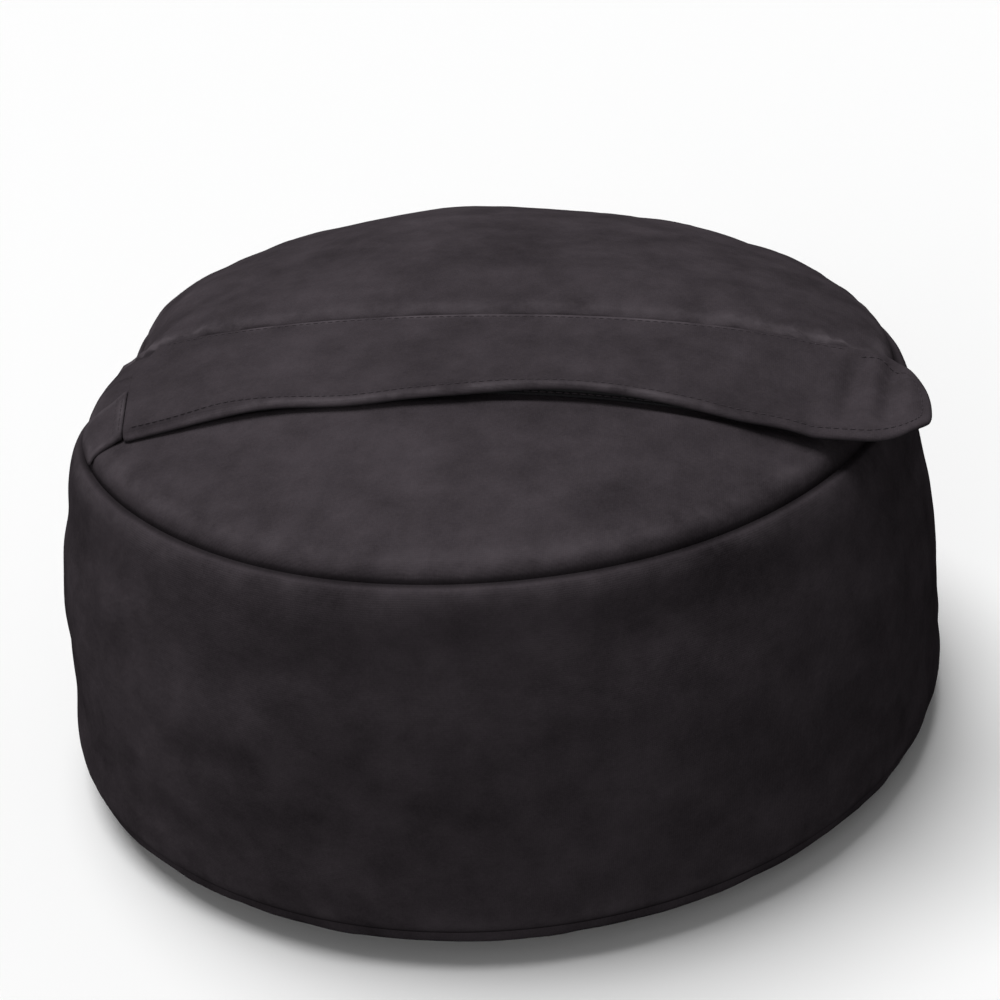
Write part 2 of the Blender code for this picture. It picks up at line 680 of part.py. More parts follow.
def make_zip(materials):
    """Zip tapes under the slot's edges, the two halves of the chain and the end stops."""
    for name, side in (("front", -1.0), ("rear", 1.0)):
        inner = CHAIN_GAP / 2 + CHAIN_WIDTH
        near, far = sorted((SLIT_Y + side * CHAIN_GAP / 2, SLIT_Y + side * inner))
        arc_bar("zip_teeth_" + name, -ZIP_HALF_LENGTH, ZIP_HALF_LENGTH, near, far, CHAIN_THICKNESS,
                CHAIN_COLUMNS, materials["zip_teeth"])
        inner += FIT_GAP
        near, far = sorted((SLIT_Y + side * inner, SLIT_Y + side * (inner + ZIP_TAPE_WIDTH)))
        half = ZIP_HALF_LENGTH + ZIP_TAPE_OVERRUN
        sheet("zip_tape_" + name, lambda y, half=half: steps(-half, half, TAPE_COLUMNS),
              steps(near, far, TAPE_ROWS), lambda x, y: panel_height(x, y) - PANEL_SLACK,
              ZIP_TAPE_THICKNESS, materials["binding_tape"])
    for name, side in (("left", -1.0), ("right", 1.0)):
        start = ZIP_HALF_LENGTH + FIT_GAP
        low, high = sorted((side * start, side * (start + STOP_LENGTH)))
        arc_bar("zip_stop_" + name, low, high, SLIT_Y - STOP_WIDTH / 2, SLIT_Y + STOP_WIDTH / 2,
                STOP_THICKNESS, TAPE_ROWS, materials["slider_metal"])


def make_slider(materials):
    """The slider and its webbing tab, built at the top of the arc and turned to where they rest."""
    radius, centre = zip_arc()
    carrier = make_empty("zip_arc_centre", (0.0, SLIT_Y, centre))
    carrier.rotation_euler = (0.0, math.asin(SLIDER_REST_X / radius), 0.0)
    metal = materials["slider_metal"]
    inside = CHAIN_THICKNESS / 2 + SLIDER_CLEARANCE
    outside = inside + SLIDER_PLATE
    half = SLIDER_LENGTH / 2
    side = SLIDER_WIDTH / 2
    slider = box("zip_slider", (-half, -side, radius + inside), (half, side, radius + outside),
                 metal, carrier)
    bottom = box("slider_bottom_tool", (-half, -side, radius - outside), (half, side, radius - inside),
                 metal, carrier)
    post = box("slider_post_tool",
               (half - SLIDER_POST_LENGTH, -SLIDER_POST_WIDTH / 2, radius - outside + SLIDER_PLATE / 2),
               (half - SLIDER_PLATE, SLIDER_POST_WIDTH / 2, radius + outside - SLIDER_PLATE / 2),
               metal, carrier)
    bail = box("slider_bail_tool", (-BAIL_LENGTH / 2, -BAIL_WIDTH / 2, radius + outside - SLIDER_PLATE / 2),
               (BAIL_LENGTH / 2, BAIL_WIDTH / 2, radius + outside + BAIL_HEIGHT), metal, carrier)
    window = box("slider_window_tool",
                 (-BAIL_LENGTH, -BAIL_WIDTH / 2 + BAIL_WALL, radius + outside),
                 (BAIL_LENGTH, BAIL_WIDTH / 2 - BAIL_WALL, radius + outside + BAIL_HEIGHT - BAIL_WALL),
                 metal, carrier)
    for tool in (bottom, post, bail):
        combine(slider, tool, "UNION")
    combine(slider, window, "DIFFERENCE")
    low = radius + outside + PULL_LIFT
    box("zip_pull", (PULL_TAIL - PULL_LENGTH, -PULL_WIDTH / 2, low),
        (PULL_TAIL, PULL_WIDTH / 2, low + PULL_THICKNESS), materials["binding_tape"], carrier)


def funnel_loop(half_length, half_width, count):
    """Plan points of the funnel's loop: two long sides with round ends."""
    points = [(x, SLIT_Y - half_width) for x in steps(-half_length, half_length, count)]
    turn = steps(-math.pi / 2, math.pi / 2, FUNNEL_END_SEGMENTS)[1:-1]
    points += [(half_length + half_width * math.cos(a), SLIT_Y + half_width * math.sin(a)) for a in turn]
    points += [(x, SLIT_Y + half_width) for x in steps(half_length, -half_length, count)]
    points += [(-half_length - half_width * math.cos(a), SLIT_Y - half_width * math.sin(a)) for a in turn]
    return points


def make_funnel(materials):
    """The cloth fill funnel: a wide mouth under the zip that narrows to a flat neck."""
    crown = panel_height(0.0, SLIT_Y)
    levels = [(FUNNEL_TOP_HALF_WIDTH, None), (FUNNEL_NECK_HALF_WIDTH, crown - FUNNEL_NECK_DEPTH),
              (FUNNEL_NECK_HALF_WIDTH, crown - FUNNEL_DEPTH)]
    shells = []
    for ply in (0.0, FUNNEL_PLY):
        rings = []
        for half_width, z in levels:
            half_length = FUNNEL_HALF_LENGTH + FUNNEL_TOP_HALF_WIDTH - half_width
            ring = []
            for x, y in funnel_loop(half_length, half_width - ply, FUNNEL_COLUMNS):
                ring.append((x, y, panel_height(x, y) - PANEL_SLACK - 2 * INNER_GAP if z is None else z))
            rings.append(ring)
        shells.append(rings)
    loops = shells[0] + list(reversed(shells[1]))
    work = bmesh.new()
    rings = [[work.verts.new(point) for point in ring] for ring in loops]
    for index, ring in enumerate(rings):
        after = rings[(index + 1) % len(rings)]
        for k in range(len(ring)):
            n = (k + 1) % len(ring)
            work.faces.new((ring[k], ring[n], after[n], after[k]))
    finish_mesh("fill_funnel", work, materials["shell_nylon"], slumps=False)
    low = crown - FUNNEL_DEPTH + FUNNEL_TAPE_LIFT
    for name, side in (("hook", -1.0), ("loop", 1.0)):
        near, far = sorted((side * FIT_GAP / 2, side * (FIT_GAP / 2 + FUNNEL_TAPE_THICKNESS)))
        box("funnel_%s_tape" % name, (-FUNNEL_TAPE_HALF_LENGTH, SLIT_Y + near, low),
            (FUNNEL_TAPE_HALF_LENGTH, SLIT_Y + far, low + FUNNEL_TAPE_HEIGHT), materials[name + "_tape"])


def sand_radius(z):
    """Radius of the sand at height z: inside the wall's seam tape and clear of both bindings."""
    margin = BINDING_WIDTH + 2 * INNER_GAP
    liner = SHELL_THICKNESS + INNER_GAP + SEAM_TAPE_THICKNESS + SAND_GAP
    radius = wall_radius(max(z, BASE_SEAM_HEIGHT)) - liner
    bound = SHELL_THICKNESS + INNER_GAP + BINDING_THICKNESS + SAND_GAP
    if z <= BASE_SEAM_HEIGHT + margin:
        radius = min(radius, wall_radius(BASE_SEAM_HEIGHT) - bound)
    if z >= SEAM_HEIGHT - margin:
        radius = min(radius, SEAM_RADIUS - bound)
    return radius


def make_sand(materials):
    """The sand: it fills the bag up to the top panels and leaves a pocket for the funnel."""
    top_radius = SEAM_RADIUS - SAND_INSET
    angles = steps(-math.pi / 2, math.pi / 2, round(math.pi / SAND_STEP))
    work = bmesh.new()
    grid = []
    for row_angle in angles:
        y = top_radius * math.sin(row_angle)
        half = top_radius * math.cos(row_angle)
        row = []
        for angle in angles:
            x = half * math.sin(angle)
            row.append(work.verts.new((x, y, panel_height(x, y) - SAND_HEADROOM)))
        grid.append(row)
    for i in range(len(grid) - 1):
        for j in range(len(grid) - 1):
            work.faces.new((grid[i][j], grid[i][j + 1], grid[i + 1][j + 1], grid[i + 1][j]))
    rim = [row[-1] for row in grid] + [row[0] for row in reversed(grid[1:-1])]
    floor = SHELL_THICKNESS + BASE_LAYER_THICKNESS + FIT_GAP + SAND_GAP
    margin = BINDING_WIDTH + 2 * INNER_GAP
    heights = [SEAM_HEIGHT - margin]
    heights += steps(SEAM_HEIGHT - 2 * margin, BASE_SEAM_HEIGHT + 2 * margin, SAND_ROWS)
    heights += [BASE_SEAM_HEIGHT + margin, BASE_SEAM_HEIGHT]
    levels = [(sand_radius(z), z) for z in heights]
    inner_edge = sand_radius(BASE_SEAM_HEIGHT)
    levels += list(reversed(base_curve(inner_edge - SAND_GAP, floor, BASE_SEAM_HEIGHT, BASE_ROWS - 1)[:-1]))
    before = rim
    for radius, z in levels:
        ring = []
        for corner in rim:
            reach = math.hypot(corner.co.x, corner.co.y)
            ring.append(work.verts.new((corner.co.x * radius / reach, corner.co.y * radius / reach, z)))
        for k in range(len(ring)):
            n = (k + 1) % len(ring)
            work.faces.new((before[k], before[n], ring[n], ring[k]))
        before = ring
    work.faces.new(before)
    sand = finish_mesh("sand_fill", work, materials["sand"])
    combine(sand, make_pocket_cutter(materials), "DIFFERENCE")


def make_pocket_cutter(materials):
    """The space that the funnel, the chain and the slider take up in the sand."""
    crown = panel_height(0.0, SLIT_Y)
    wide = FUNNEL_TOP_HALF_WIDTH + POCKET_CLEARANCE
    narrow = FUNNEL_NECK_HALF_WIDTH + POCKET_CLEARANCE
    right = [(wide, crown + CUT_OVERRUN), (wide, crown - POCKET_STEP_DEPTH),
             (narrow, crown - FUNNEL_NECK_DEPTH - POCKET_CLEARANCE),
             (narrow, crown - FUNNEL_DEPTH - POCKET_CLEARANCE)]
    outline = right + [(-y, z) for y, z in reversed(right)]
    half = FUNNEL_HALF_LENGTH + FUNNEL_TOP_HALF_WIDTH + POCKET_CLEARANCE
    work = bmesh.new()
    ends = [[work.verts.new((x, SLIT_Y + y, z)) for y, z in outline] for x in (-half, half)]
    for end in ends:
        work.faces.new(end)
    for k in range(len(outline)):
        n = (k + 1) % len(outline)
        work.faces.new((ends[0][k], ends[0][n], ends[1][n], ends[1][k]))
    return finish_mesh("pocket_cutter", work, materials["sand"], slumps=False)


def centre_bag():
    """Move every piece so that the slumped wall's outline is centred on the origin."""
    corners = [corner.co for corner in bpy.data.objects["side_wall"].data.vertices]
    middle = [(min(c[k] for c in corners) + max(c[k] for c in corners)) / 2 for k in (0, 1)]
    shift = Vector((-middle[0], -middle[1], 0.0))
    for thing in bpy.data.objects:
        if thing.parent is None and thing.type == "MESH":
            thing.data.transform(Matrix.Translation(shift))
        elif thing.parent is None:
            thing.location += shift


def main():
    """Build the whole bag."""
    clear_scene()
    materials = make_materials()
    make_side_wall(materials)
    make_side_seam_tape(materials)
    make_base(materials)
    make_bindings(materials)
    make_top_panels(materials)
    make_flap_anchor(materials)
    make_flap_seam_tape(materials)
    make_zip(materials)
    make_slider(materials)
    make_loop_tape(materials)
    make_flap(materials)
    make_funnel(materials)
    make_sand(materials)
    centre_bag()


if __name__ == "__main__":
    main()
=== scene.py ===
"""Looks of the sandbag trainer: its sewn nylon shell, closure flap, tapes, zip and studio.

Metres, +Z up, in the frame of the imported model. The flap runs along X, its free edge faces -Y and its
tongue points to +X.
"""
import math

import bmesh
import bpy
import numpy as np
from bpy.props import FloatProperty, FloatVectorProperty, PointerProperty
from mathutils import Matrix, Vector, geometry, noise


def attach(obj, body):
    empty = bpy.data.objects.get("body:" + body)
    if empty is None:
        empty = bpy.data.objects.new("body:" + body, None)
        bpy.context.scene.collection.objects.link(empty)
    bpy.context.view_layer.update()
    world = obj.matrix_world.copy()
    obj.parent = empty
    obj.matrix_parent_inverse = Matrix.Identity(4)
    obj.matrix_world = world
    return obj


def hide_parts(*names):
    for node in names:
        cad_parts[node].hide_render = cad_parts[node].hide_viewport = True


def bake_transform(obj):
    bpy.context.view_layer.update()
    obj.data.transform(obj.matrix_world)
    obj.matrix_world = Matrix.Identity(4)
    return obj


bl_info = {
    "name": "Sandbag trainer",
    "version": (1, 0, 0),
    "blender": (4, 5, 0),
    "location": "3D View > Sidebar > Sandbag",
    "description": "Dresses the packed sandbag trainer in sewn nylon and lights it",
    "category": "Object",
}

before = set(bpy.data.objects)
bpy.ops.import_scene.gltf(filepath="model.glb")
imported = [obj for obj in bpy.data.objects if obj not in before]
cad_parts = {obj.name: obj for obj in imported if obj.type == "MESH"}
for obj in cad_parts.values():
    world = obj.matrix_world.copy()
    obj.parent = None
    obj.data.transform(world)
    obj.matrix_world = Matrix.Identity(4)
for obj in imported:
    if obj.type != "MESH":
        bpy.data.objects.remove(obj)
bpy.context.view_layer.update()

# Shell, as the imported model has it
SEAM_RADIUS = 0.200
SEAM_HEIGHT = 0.183
BASE_SEAM_HEIGHT = 0.018
BASE_FLAT_RADIUS = 0.180
SEAM_PUFF = 0.004
FRONT_RISE = 0.0435
CROWN_RISE = 0.050
SEAM_DIP_WIDTH = 0.016
SIDE_RUN = 0.050
FRONT_POWER, REAR_POWER = 1.7, 0.70
FRONT_SIDE, SEAM_SIDE, REAR_SIDE = 0.85, 0.50, 0.65
PUFF_POWER = 30.0

# Closure flap, tapes and zip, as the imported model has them
FLAP_SEAM_Y = -0.030
FLAP_WIDTH = 0.070
FLAP_NEAR_Y = FLAP_SEAM_Y - FLAP_WIDTH
FOLD_Y = -0.051
FLAP_LEFT = 0.158
FLAP_RIGHT = 0.214
FLAP_LEAVE = 0.160
FLAP_EDGE_RISE = 0.0064
FLAP_SEAM_RISE = 0.0029
FLAP_THICKNESS = 0.0023
TIP_LIFT, TIP_TILT, DROOP = 0.0145, 0.010, 1.15
TONGUE_CORNER, TONGUE_ROUND = 0.032, 2.4
STACK_HEIGHT = 0.0078
BED_HALF, BED_RUN_OUT, BED_LEAD, BED_BACK = 0.150, 0.024, 0.08, 0.88
ANCHOR_REAR = -0.068
SLIT_Y = -0.048
ZIP_CENTRE, ZIP_RADIUS, SLIDER_X = -0.6204063, 0.8365152, 0.115
SLOT_HALF, SLOT_END = 0.0065, 0.136
TAPE_HALF, TAPE_WIDTH, TAPE_THICKNESS = 0.144, 0.038, 0.0022

# Slump of the filled bag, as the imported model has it
FOOT_LEAN, FOOT_OVAL = 0.0033, 0.0051
SHOULDER_PULL, SHOULDER_DROP, REAR_SAG = 0.017, 0.003, 0.0037
OVAL_TURN, SHOULDER_TURN, SHOULDER_SPREAD = math.radians(237.5), math.radians(180), math.radians(14)
CENTRE = (-0.00175, 0.0)

# What the cloth adds: the round seam's groove, and the forms of the flap where it bends over that seam
SEAM_SINK = 0.0023
DENTS = ((0.1950, 0.008, 0.0048, 1.0), (0.1780, 0.012, 0.0055, 0.8))  # place, slant, width, share
DENT_DEPTH, TONGUE_FALL, TONGUE_RISE = 0.0056, 0.0044, 0.0025

# How far the flap's free edge is let out at a few places along it
EDGE_PLACES = (-0.165, -0.127, -0.100, -0.079, -0.045, -0.020, 0.004,
               0.031, 0.058, 0.086, 0.113, 0.140, 0.170, 0.214)
EDGE_LETS = (0.0020, 0.0028, 0.0015, 0.0012, 0.0028, 0.0017, 0.0,
             -0.0040, -0.0060, -0.0052, -0.0030, 0.0004, 0.0008, -0.0026)

# How far each height of the side wall stands out, as shares of the seam's height and radius
WALL_HEIGHT_SHARES = (0.0, 0.10, 0.20, 0.32, 0.45, 0.60, 0.75, 0.88, 1.0)
WALL_RADIUS_SHARES = (1.125, 1.138, 1.133, 1.125, 1.117, 1.104, 1.077, 1.048, 1.0)

# Sewing
WALL_RUN = 0.222  # length of the wall's strip for each radian round the bag
SETTLE_FRAMES = 20
TOP_SHEET = 0.0014
WALL_GIVE, TOP_GIVE = 0.0045, 0.0040  # how far settling may move the cloth
FLAP_HEM_ROW = 0.0045
FLAP_REAR_ROW = 0.0045
ANCHOR_ROWS = (0.0028, 0.0062)
ANCHOR_START = 0.0006  # from the flap's left end out to where the sewn-down end begins
TAPE_START = 0.0085  # from the flap's free edge in to the hook and loop tapes
HOOK_BELOW, LOOP_BELOW = 0.0026, 0.0051  # faces of the two tapes under the flap's face
ZIP_BELOW = 0.0025
ZIP_INNER, ZIP_OUTER, ZIP_TAPE_END = 0.0038, 0.0118, 0.139
CHAIN_PITCH, CHAIN_HALF, CHAIN_WIRE = 0.0022, 0.130, 0.00045
STOP_X = 0.13205

# Light and camera
# Each lamp has a name, the side it shines from, a strength and the angle it spans in degrees
LAMPS = (("Key", (-0.20, 0.17, 0.965), 2.56, 38.0), ("Fill", (-0.36, -0.91, 0.20), 0.78, 50.0))
ROOM_LIGHT = 0.17
FLOOR_HALF, FLOOR_BOUNCE = 9.0, 0.12
CAMERA_LENS = 69.7
CAMERA_AZIMUTH, CAMERA_ELEVATION, CAMERA_ROLL = 10.0, 28.9, -4.8  # degrees
CAMERA_DISTANCE, CAMERA_SIDEWAYS, CAMERA_HEIGHT = 1.0, 0.0024, 0.1088


def smooth_step(value, low, high):
    """Rise smoothly from 0 at low to 1 at high."""
    share = np.clip((value - low) / (high - low), 0.0, 1.0)
    return share * share * (3.0 - 2.0 * share)


def hill(distance, width):
    """A smooth hill that is 1 at no distance and gone two widths away."""
    return np.exp(-(distance / width) ** 2)


def fade(distance, run):
    """Fall from 1 at no distance, by two thirds over each run."""
    return np.exp(-distance / run)


def turn_from(angle, start):
    """Angle from a start, between half a turn back and half a turn on."""
    return (angle - start + math.pi) % (2 * math.pi) - math.pi


def unit(vectors):
    """Vectors of length 1, one for each row."""
    return vectors / np.linalg.norm(vectors, axis=1)[:, None]


def spline(value, places, levels):
    """Read a natural cubic curve through a few known levels."""
    x, y = np.asarray(places, float), np.asarray(levels, float)
    h = np.diff(x)
    n = len(x)
    system, right = np.eye(n), np.zeros(n)
    for i in range(1, n - 1):
        system[i, i - 1:i + 2] = h[i - 1], 2 * (h[i - 1] + h[i]), h[i]
        right[i] = 6 * ((y[i + 1] - y[i]) / h[i] - (y[i] - y[i - 1]) / h[i - 1])
    bend = np.linalg.solve(system, right)
    value = np.clip(value, x[0], x[-1])
    i = np.clip(np.searchsorted(x, value) - 1, 0, n - 2)
    a, b = (x[i + 1] - value) / h[i], (value - x[i]) / h[i]
    curve = ((a ** 3 - a) * bend[i] + (b ** 3 - b) * bend[i + 1]) * h[i] ** 2 / 6
    return a * y[i] + b * y[i + 1] + curve


def grain(points, scale, seed):
    """Smooth noise from about -1 to 1 at each point, at so many lumps per metre."""
    points = np.asarray(points, float) * scale + seed
    broad, fine = (np.array([noise.noise(Vector(p)) for p in points * step]) for step in (1, 2))
    return broad + 0.5 * fine


def slump(points):
    """Where points of the round bag end up once the sand has pulled it out of round."""
    x, y, z = points.T
    reach = np.maximum(np.hypot(x, y), 1e-6)
    turn = np.arctan2(y, x)
    low = np.clip(1.0 - z / SEAM_HEIGHT, 0.0, 1.0) ** 2.2
    out = low * (FOOT_LEAN * np.cos(turn) + FOOT_OVAL * np.cos(2 * (turn - OVAL_TURN)))
    away = turn_from(turn, SHOULDER_TURN)
    pull = hill(away, SHOULDER_SPREAD) * smooth_step(z, 0.52 * SEAM_HEIGHT, SEAM_HEIGHT)
    pull *= smooth_step(reach, 0.72 * SEAM_RADIUS, SEAM_RADIUS)
    sag = REAR_SAG * z / SEAM_HEIGHT * smooth_step(y, 0.0, SEAM_RADIUS / 2)
    sag *= smooth_step(x, -SEAM_RADIUS / 4, SEAM_RADIUS / 4)
    scale = 1.0 + (out * np.minimum(reach / SEAM_RADIUS, 1.0) - SHOULDER_PULL * pull) / reach
    return np.column_stack((x * scale + CENTRE[0], y * scale + CENTRE[1],
                            z - SHOULDER_DROP * pull - sag))


def coordinates(mesh):
    """The points of a mesh as an array."""
    values = np.empty(len(mesh.vertices) * 3, dtype=np.float32)
    mesh.vertices.foreach_get("co", values)
    return values.reshape(-1, 3).astype(float)


def place_points(piece, points):
    """Move the points of a piece's mesh to new places."""
    piece.data.vertices.foreach_set("co", points.astype(np.float32).ravel())
    piece.data.update()


def seat(piece, slot, body=None, *nodes):
    """Move a finished piece to where the slumped bag has it, hide the imported parts it stands for and hang
    it on its body, if it has one.
    """
    place_points(piece, slump(coordinates(piece.data)))
    if nodes:
        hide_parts(*nodes)
    if body:
        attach(piece, body)


def seam_groove(distance):
    """How far the round top seam is drawn down into the cloth on both of its sides."""
    return SEAM_SINK * hill(distance, 0.0017)


def seam_wander(angle):
    """How far the round top seam wanders out and up around the bag."""
    out = 0.0009 * np.sin(3 * angle + 0.7) + 0.0006 * np.sin(7 * angle + 2.1)
    up = 0.0008 * np.sin(2 * angle + 1.1) + 0.0005 * np.sin(5 * angle + 0.3)
    front = turn_from(angle, math.radians(-105))
    return out, up + 0.0026 * hill(front, math.radians(30))


def wall_radius(z):
    """Radius of the side wall at a height, pulled in along both seams."""
    radius = SEAM_RADIUS * spline(z / SEAM_HEIGHT, WALL_HEIGHT_SHARES, WALL_RADIUS_SHARES)
    top = SEAM_HEIGHT - z
    puff = (0.0046 * fade(top, 0.040) - 0.0006) * (1.0 - fade(top, 0.0024))
    foot = np.maximum(z - BASE_SEAM_HEIGHT, 0.0)
    return radius + puff - 0.0030 * fade(foot, 0.0035)


def wall_folds(angle, z):
    """Where the wall is fuller or slacker than a smooth drum.

    It is hollow below its front shoulder and full at its lower left, and a valley and a ridge cross it.
    """
    top = SEAM_HEIGHT - z
    front = np.sqrt(np.clip(np.cos(angle + math.radians(75)), 0.0, 1.0))
    hollow = front * hill(top - 0.030, 0.016)
    valley = np.interp(angle, np.radians((-135, -125, -91, -73, -53, -40)),
                       (0.115, 0.120, 0.149, 0.160, 0.156, 0.150))
    shown = smooth_step(angle, math.radians(-150), math.radians(-125))
    shown = shown * (1.0 - smooth_step(angle, math.radians(-50), math.radians(-25)))
    ridge = np.interp(angle, np.radians((-165, -150, -110, -90)), (0.105, 0.092, 0.042, 0.036))
    near = smooth_step(angle, math.radians(-172), math.radians(-155))
    near = near * (1.0 - smooth_step(angle, math.radians(-108), math.radians(-92)))
    low = hill(angle - math.radians(-147), math.radians(24)) * hill(z - 0.020, 0.024)
    return (-0.0023 * hollow + 0.0038 * low - 0.0011 * shown * hill(z - valley, 0.013)
            + 0.0012 * near * hill(z - ridge, 0.010))


def chord_half(y):
    """Half the width of the top at y."""
    return np.sqrt(np.maximum(SEAM_RADIUS ** 2 - y * y, 1e-12))


def dome_height(x, y):
    """Height of the top as if nothing lay under the flap."""
    share = np.minimum(np.abs(y) / SEAM_RADIUS, 1.0)
    front = (FRONT_RISE - SEAM_PUFF) * (1.0 - share ** FRONT_POWER)
    rear = (CROWN_RISE - SEAM_PUFF) * np.maximum(1.0 - share * share, 0.0) ** REAR_POWER
    at_seam = abs(FLAP_SEAM_Y) / SEAM_RADIUS
    dip = ((CROWN_RISE - SEAM_PUFF) * (1.0 - at_seam ** 2) ** REAR_POWER
           - (FRONT_RISE - SEAM_PUFF) * (1.0 - at_seam ** FRONT_POWER))
    behind = np.maximum(rear - dip * fade(np.maximum(y - FLAP_SEAM_Y, 0.0), SEAM_DIP_WIDTH), 0.0)
    line = np.where(y <= FLAP_SEAM_Y, front, behind)
    power = np.where(
        y <= FLAP_SEAM_Y,
        FRONT_SIDE + (SEAM_SIDE - FRONT_SIDE) * smooth_step(y, FLAP_NEAR_Y, FLAP_SEAM_Y),
        SEAM_SIDE + (REAR_SIDE - SEAM_SIDE) * smooth_step(y, FLAP_SEAM_Y, FLAP_SEAM_Y + SIDE_RUN))
    across = np.minimum(np.abs(x) / chord_half(y), 1.0)
    reach = np.minimum(np.hypot(x, y) / SEAM_RADIUS, 1.0)
    puff = SEAM_PUFF * (1.0 - reach ** PUFF_POWER)
    return SEAM_HEIGHT + puff + line * np.maximum(1.0 - across ** 2, 0.0) ** power


def flap_rise(y):
    """How far the flap's face stands over the dome."""
    share = np.clip((y - FLAP_NEAR_Y) / FLAP_WIDTH, 0.0, 1.0)
    return FLAP_EDGE_RISE + (FLAP_SEAM_RISE - FLAP_EDGE_RISE) * share


def panel_height(x, y):
    """Height of the top panels, sunk under the flap for the tapes and the zip."""
    share = (y - FLAP_NEAR_Y) / FLAP_WIDTH
    across = smooth_step(share, BED_LEAD / 4, BED_LEAD * 1.3) * (1.0 - smooth_step(share, BED_BACK, 1.0))
    along = 1.0 - smooth_step(np.abs(x), BED_HALF, BED_HALF + BED_RUN_OUT)
    return dome_height(x, y) - across * along * (STACK_HEIGHT - flap_rise(y))


def flap_height(x, y):
    """Height of the flap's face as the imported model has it."""
    over = dome_height(x, y) + flap_rise(y)
    start = dome_height(np.full_like(x, FLAP_LEAVE), y) + flap_rise(y)
    tip = SEAM_HEIGHT + TIP_LIFT + TIP_TILT * ((y - FLAP_NEAR_Y) / FLAP_WIDTH - 0.5)
    share = np.clip((x - FLAP_LEAVE) / (FLAP_RIGHT - FLAP_LEAVE), 0.0, 1.0)
    return np.where(x <= FLAP_LEAVE, over, tip + (start - tip) * (1.0 - share) ** DROOP)


def flap_face(x, y):
    """The flap's face: soft waves, a dent where it bends over the round seam, and its rounded tongue."""
    away = 1.0 - smooth_step(y, FLAP_NEAR_Y, FLAP_SEAM_Y - 0.010)
    edge = 1.0 - smooth_step(y, FLAP_NEAR_Y, FLAP_NEAR_Y + 0.020)
    wave = 0.0006 * np.sin(x / 0.021 + 0.6) + 0.0004 * np.sin(x / 0.013 + 2.2)
    wave = wave * away * (0.3 + 0.7 * edge) * (1.0 - smooth_step(np.abs(x), 0.135, 0.165))
    close = smooth_step(-x, 0.070, 0.110)
    tip = 1.0 - smooth_step((y - FLAP_NEAR_Y) / (0.0085 - 0.0050 * close), 0.0, 1.0)
    across = (y - FLAP_NEAR_Y) / FLAP_WIDTH
    dent = sum(share * hill(x - place - slant * (across - 0.5), width)
               for place, slant, width, share in DENTS)
    dent = dent * smooth_step(across, 0.08, 0.38) * (1.0 - smooth_step(across, 0.82, 0.98))
    fall = smooth_step(x, 0.200, 0.215) * smooth_step(across, 0.08, 0.40)
    lift = smooth_step(x, 0.125, 0.160) * (1.0 - smooth_step(across, 0.0, 0.55))
    return (flap_height(x, y) + wave - (0.0017 + 0.0010 * close) * tip - DENT_DEPTH * dent
            - TONGUE_FALL * fall + TONGUE_RISE * lift)


def link(piece):
    """Put a new object in the scene."""
    bpy.context.scene.collection.objects.link(piece)
    return piece


def plain_mesh(name, points, faces, material):
    """A smooth-shaded object of one finish."""
    mesh = bpy.data.meshes.new(name)
    mesh.from_pydata([tuple(map(float, p)) for p in points], [], faces)
    mesh.shade_smooth()
    mesh.materials.append(material)
    return link(bpy.data.objects.new(name, mesh))


def make_mesh(name, points, faces, material, flat, wear_and_painted_shade):
    """A smooth-shaded object with its cloth coordinates and a mask of where it is rubbed, which goes below
    0 where painted shade darkens its seams.
    """
    mesh = bpy.data.meshes.new(name)
    mesh.from_pydata([tuple(map(float, p)) for p in points], [], [tuple(map(int, f)) for f in faces])
    mesh.validate()
    mesh.shade_smooth()
    layer = mesh.uv_layers.new(name="Cloth")
    order = np.empty(len(mesh.loops), dtype=np.int32)
    mesh.loops.foreach_get("vertex_index", order)
    layer.data.foreach_set("uv", np.asarray(flat, np.float32)[order].ravel())
    mask = mesh.attributes.new("wear_and_painted_shade", "FLOAT", "POINT")
    mask.data.foreach_set("value", np.asarray(wear_and_painted_shade, np.float32))
    mesh.materials.append(material)
    return link(bpy.data.objects.new(name, mesh))


def keep_shape(piece):
    """Apply every modifier of a piece to its mesh."""
    graph = bpy.context.evaluated_depsgraph_get()
    mesh = bpy.data.meshes.new_from_object(piece.evaluated_get(graph), depsgraph=graph)
    old = piece.data
    piece.modifiers.clear()
    piece.data = mesh
    mesh.name = piece.name
    bpy.data.meshes.remove(old)


def settle(piece, pinned, ease, limit):
    """Let sewn cloth swell between its seams, with extra cloth eased in along them, and keep the result.

    pinned and ease hold a weight from 0 to 1 for each point, limit how far each point may move.
    """
    scene = bpy.context.scene
    before = coordinates(piece.data)
    for name, weights in (("pinned", pinned), ("ease", ease)):
        group = piece.vertex_groups.new(name=name)
        for index, weight in enumerate(weights):
            if weight > 0.001:
                group.add([index], float(weight), "REPLACE")
    cloth = piece.modifiers.new("Cloth", "CLOTH")
    settings = {"quality": 6, "mass": 0.3, "tension_stiffness": 20.0, "compression_stiffness": 20.0,
                "shear_stiffness": 8.0, "bending_stiffness": 1.2, "vertex_group_mass": "pinned",
                "use_pressure": True, "uniform_pressure_force": 4.0, "vertex_group_shrink": "ease",
                "shrink_min": 0.0, "shrink_max": -0.05}
    for key, value in settings.items():
        setattr(cloth.settings, key, value)
    cloth.settings.effector_weights.gravity = 0.0
    cloth.point_cache.frame_start = 1
    cloth.point_cache.frame_end = SETTLE_FRAMES
    for number in range(1, SETTLE_FRAMES + 1):
        scene.frame_set(number)
    graph = bpy.context.evaluated_depsgraph_get()
    after = coordinates(piece.evaluated_get(graph).data)
    piece.modifiers.clear()
    piece.vertex_groups.clear()
    scene.frame_set(1)
    move = after - before
    length = np.linalg.norm(move, axis=1)
    allowed = limit * np.tanh(length / np.maximum(limit, 1e-6))
    move *= (allowed / np.maximum(length, 1e-9))[:, None]
    place_points(piece, before + move)


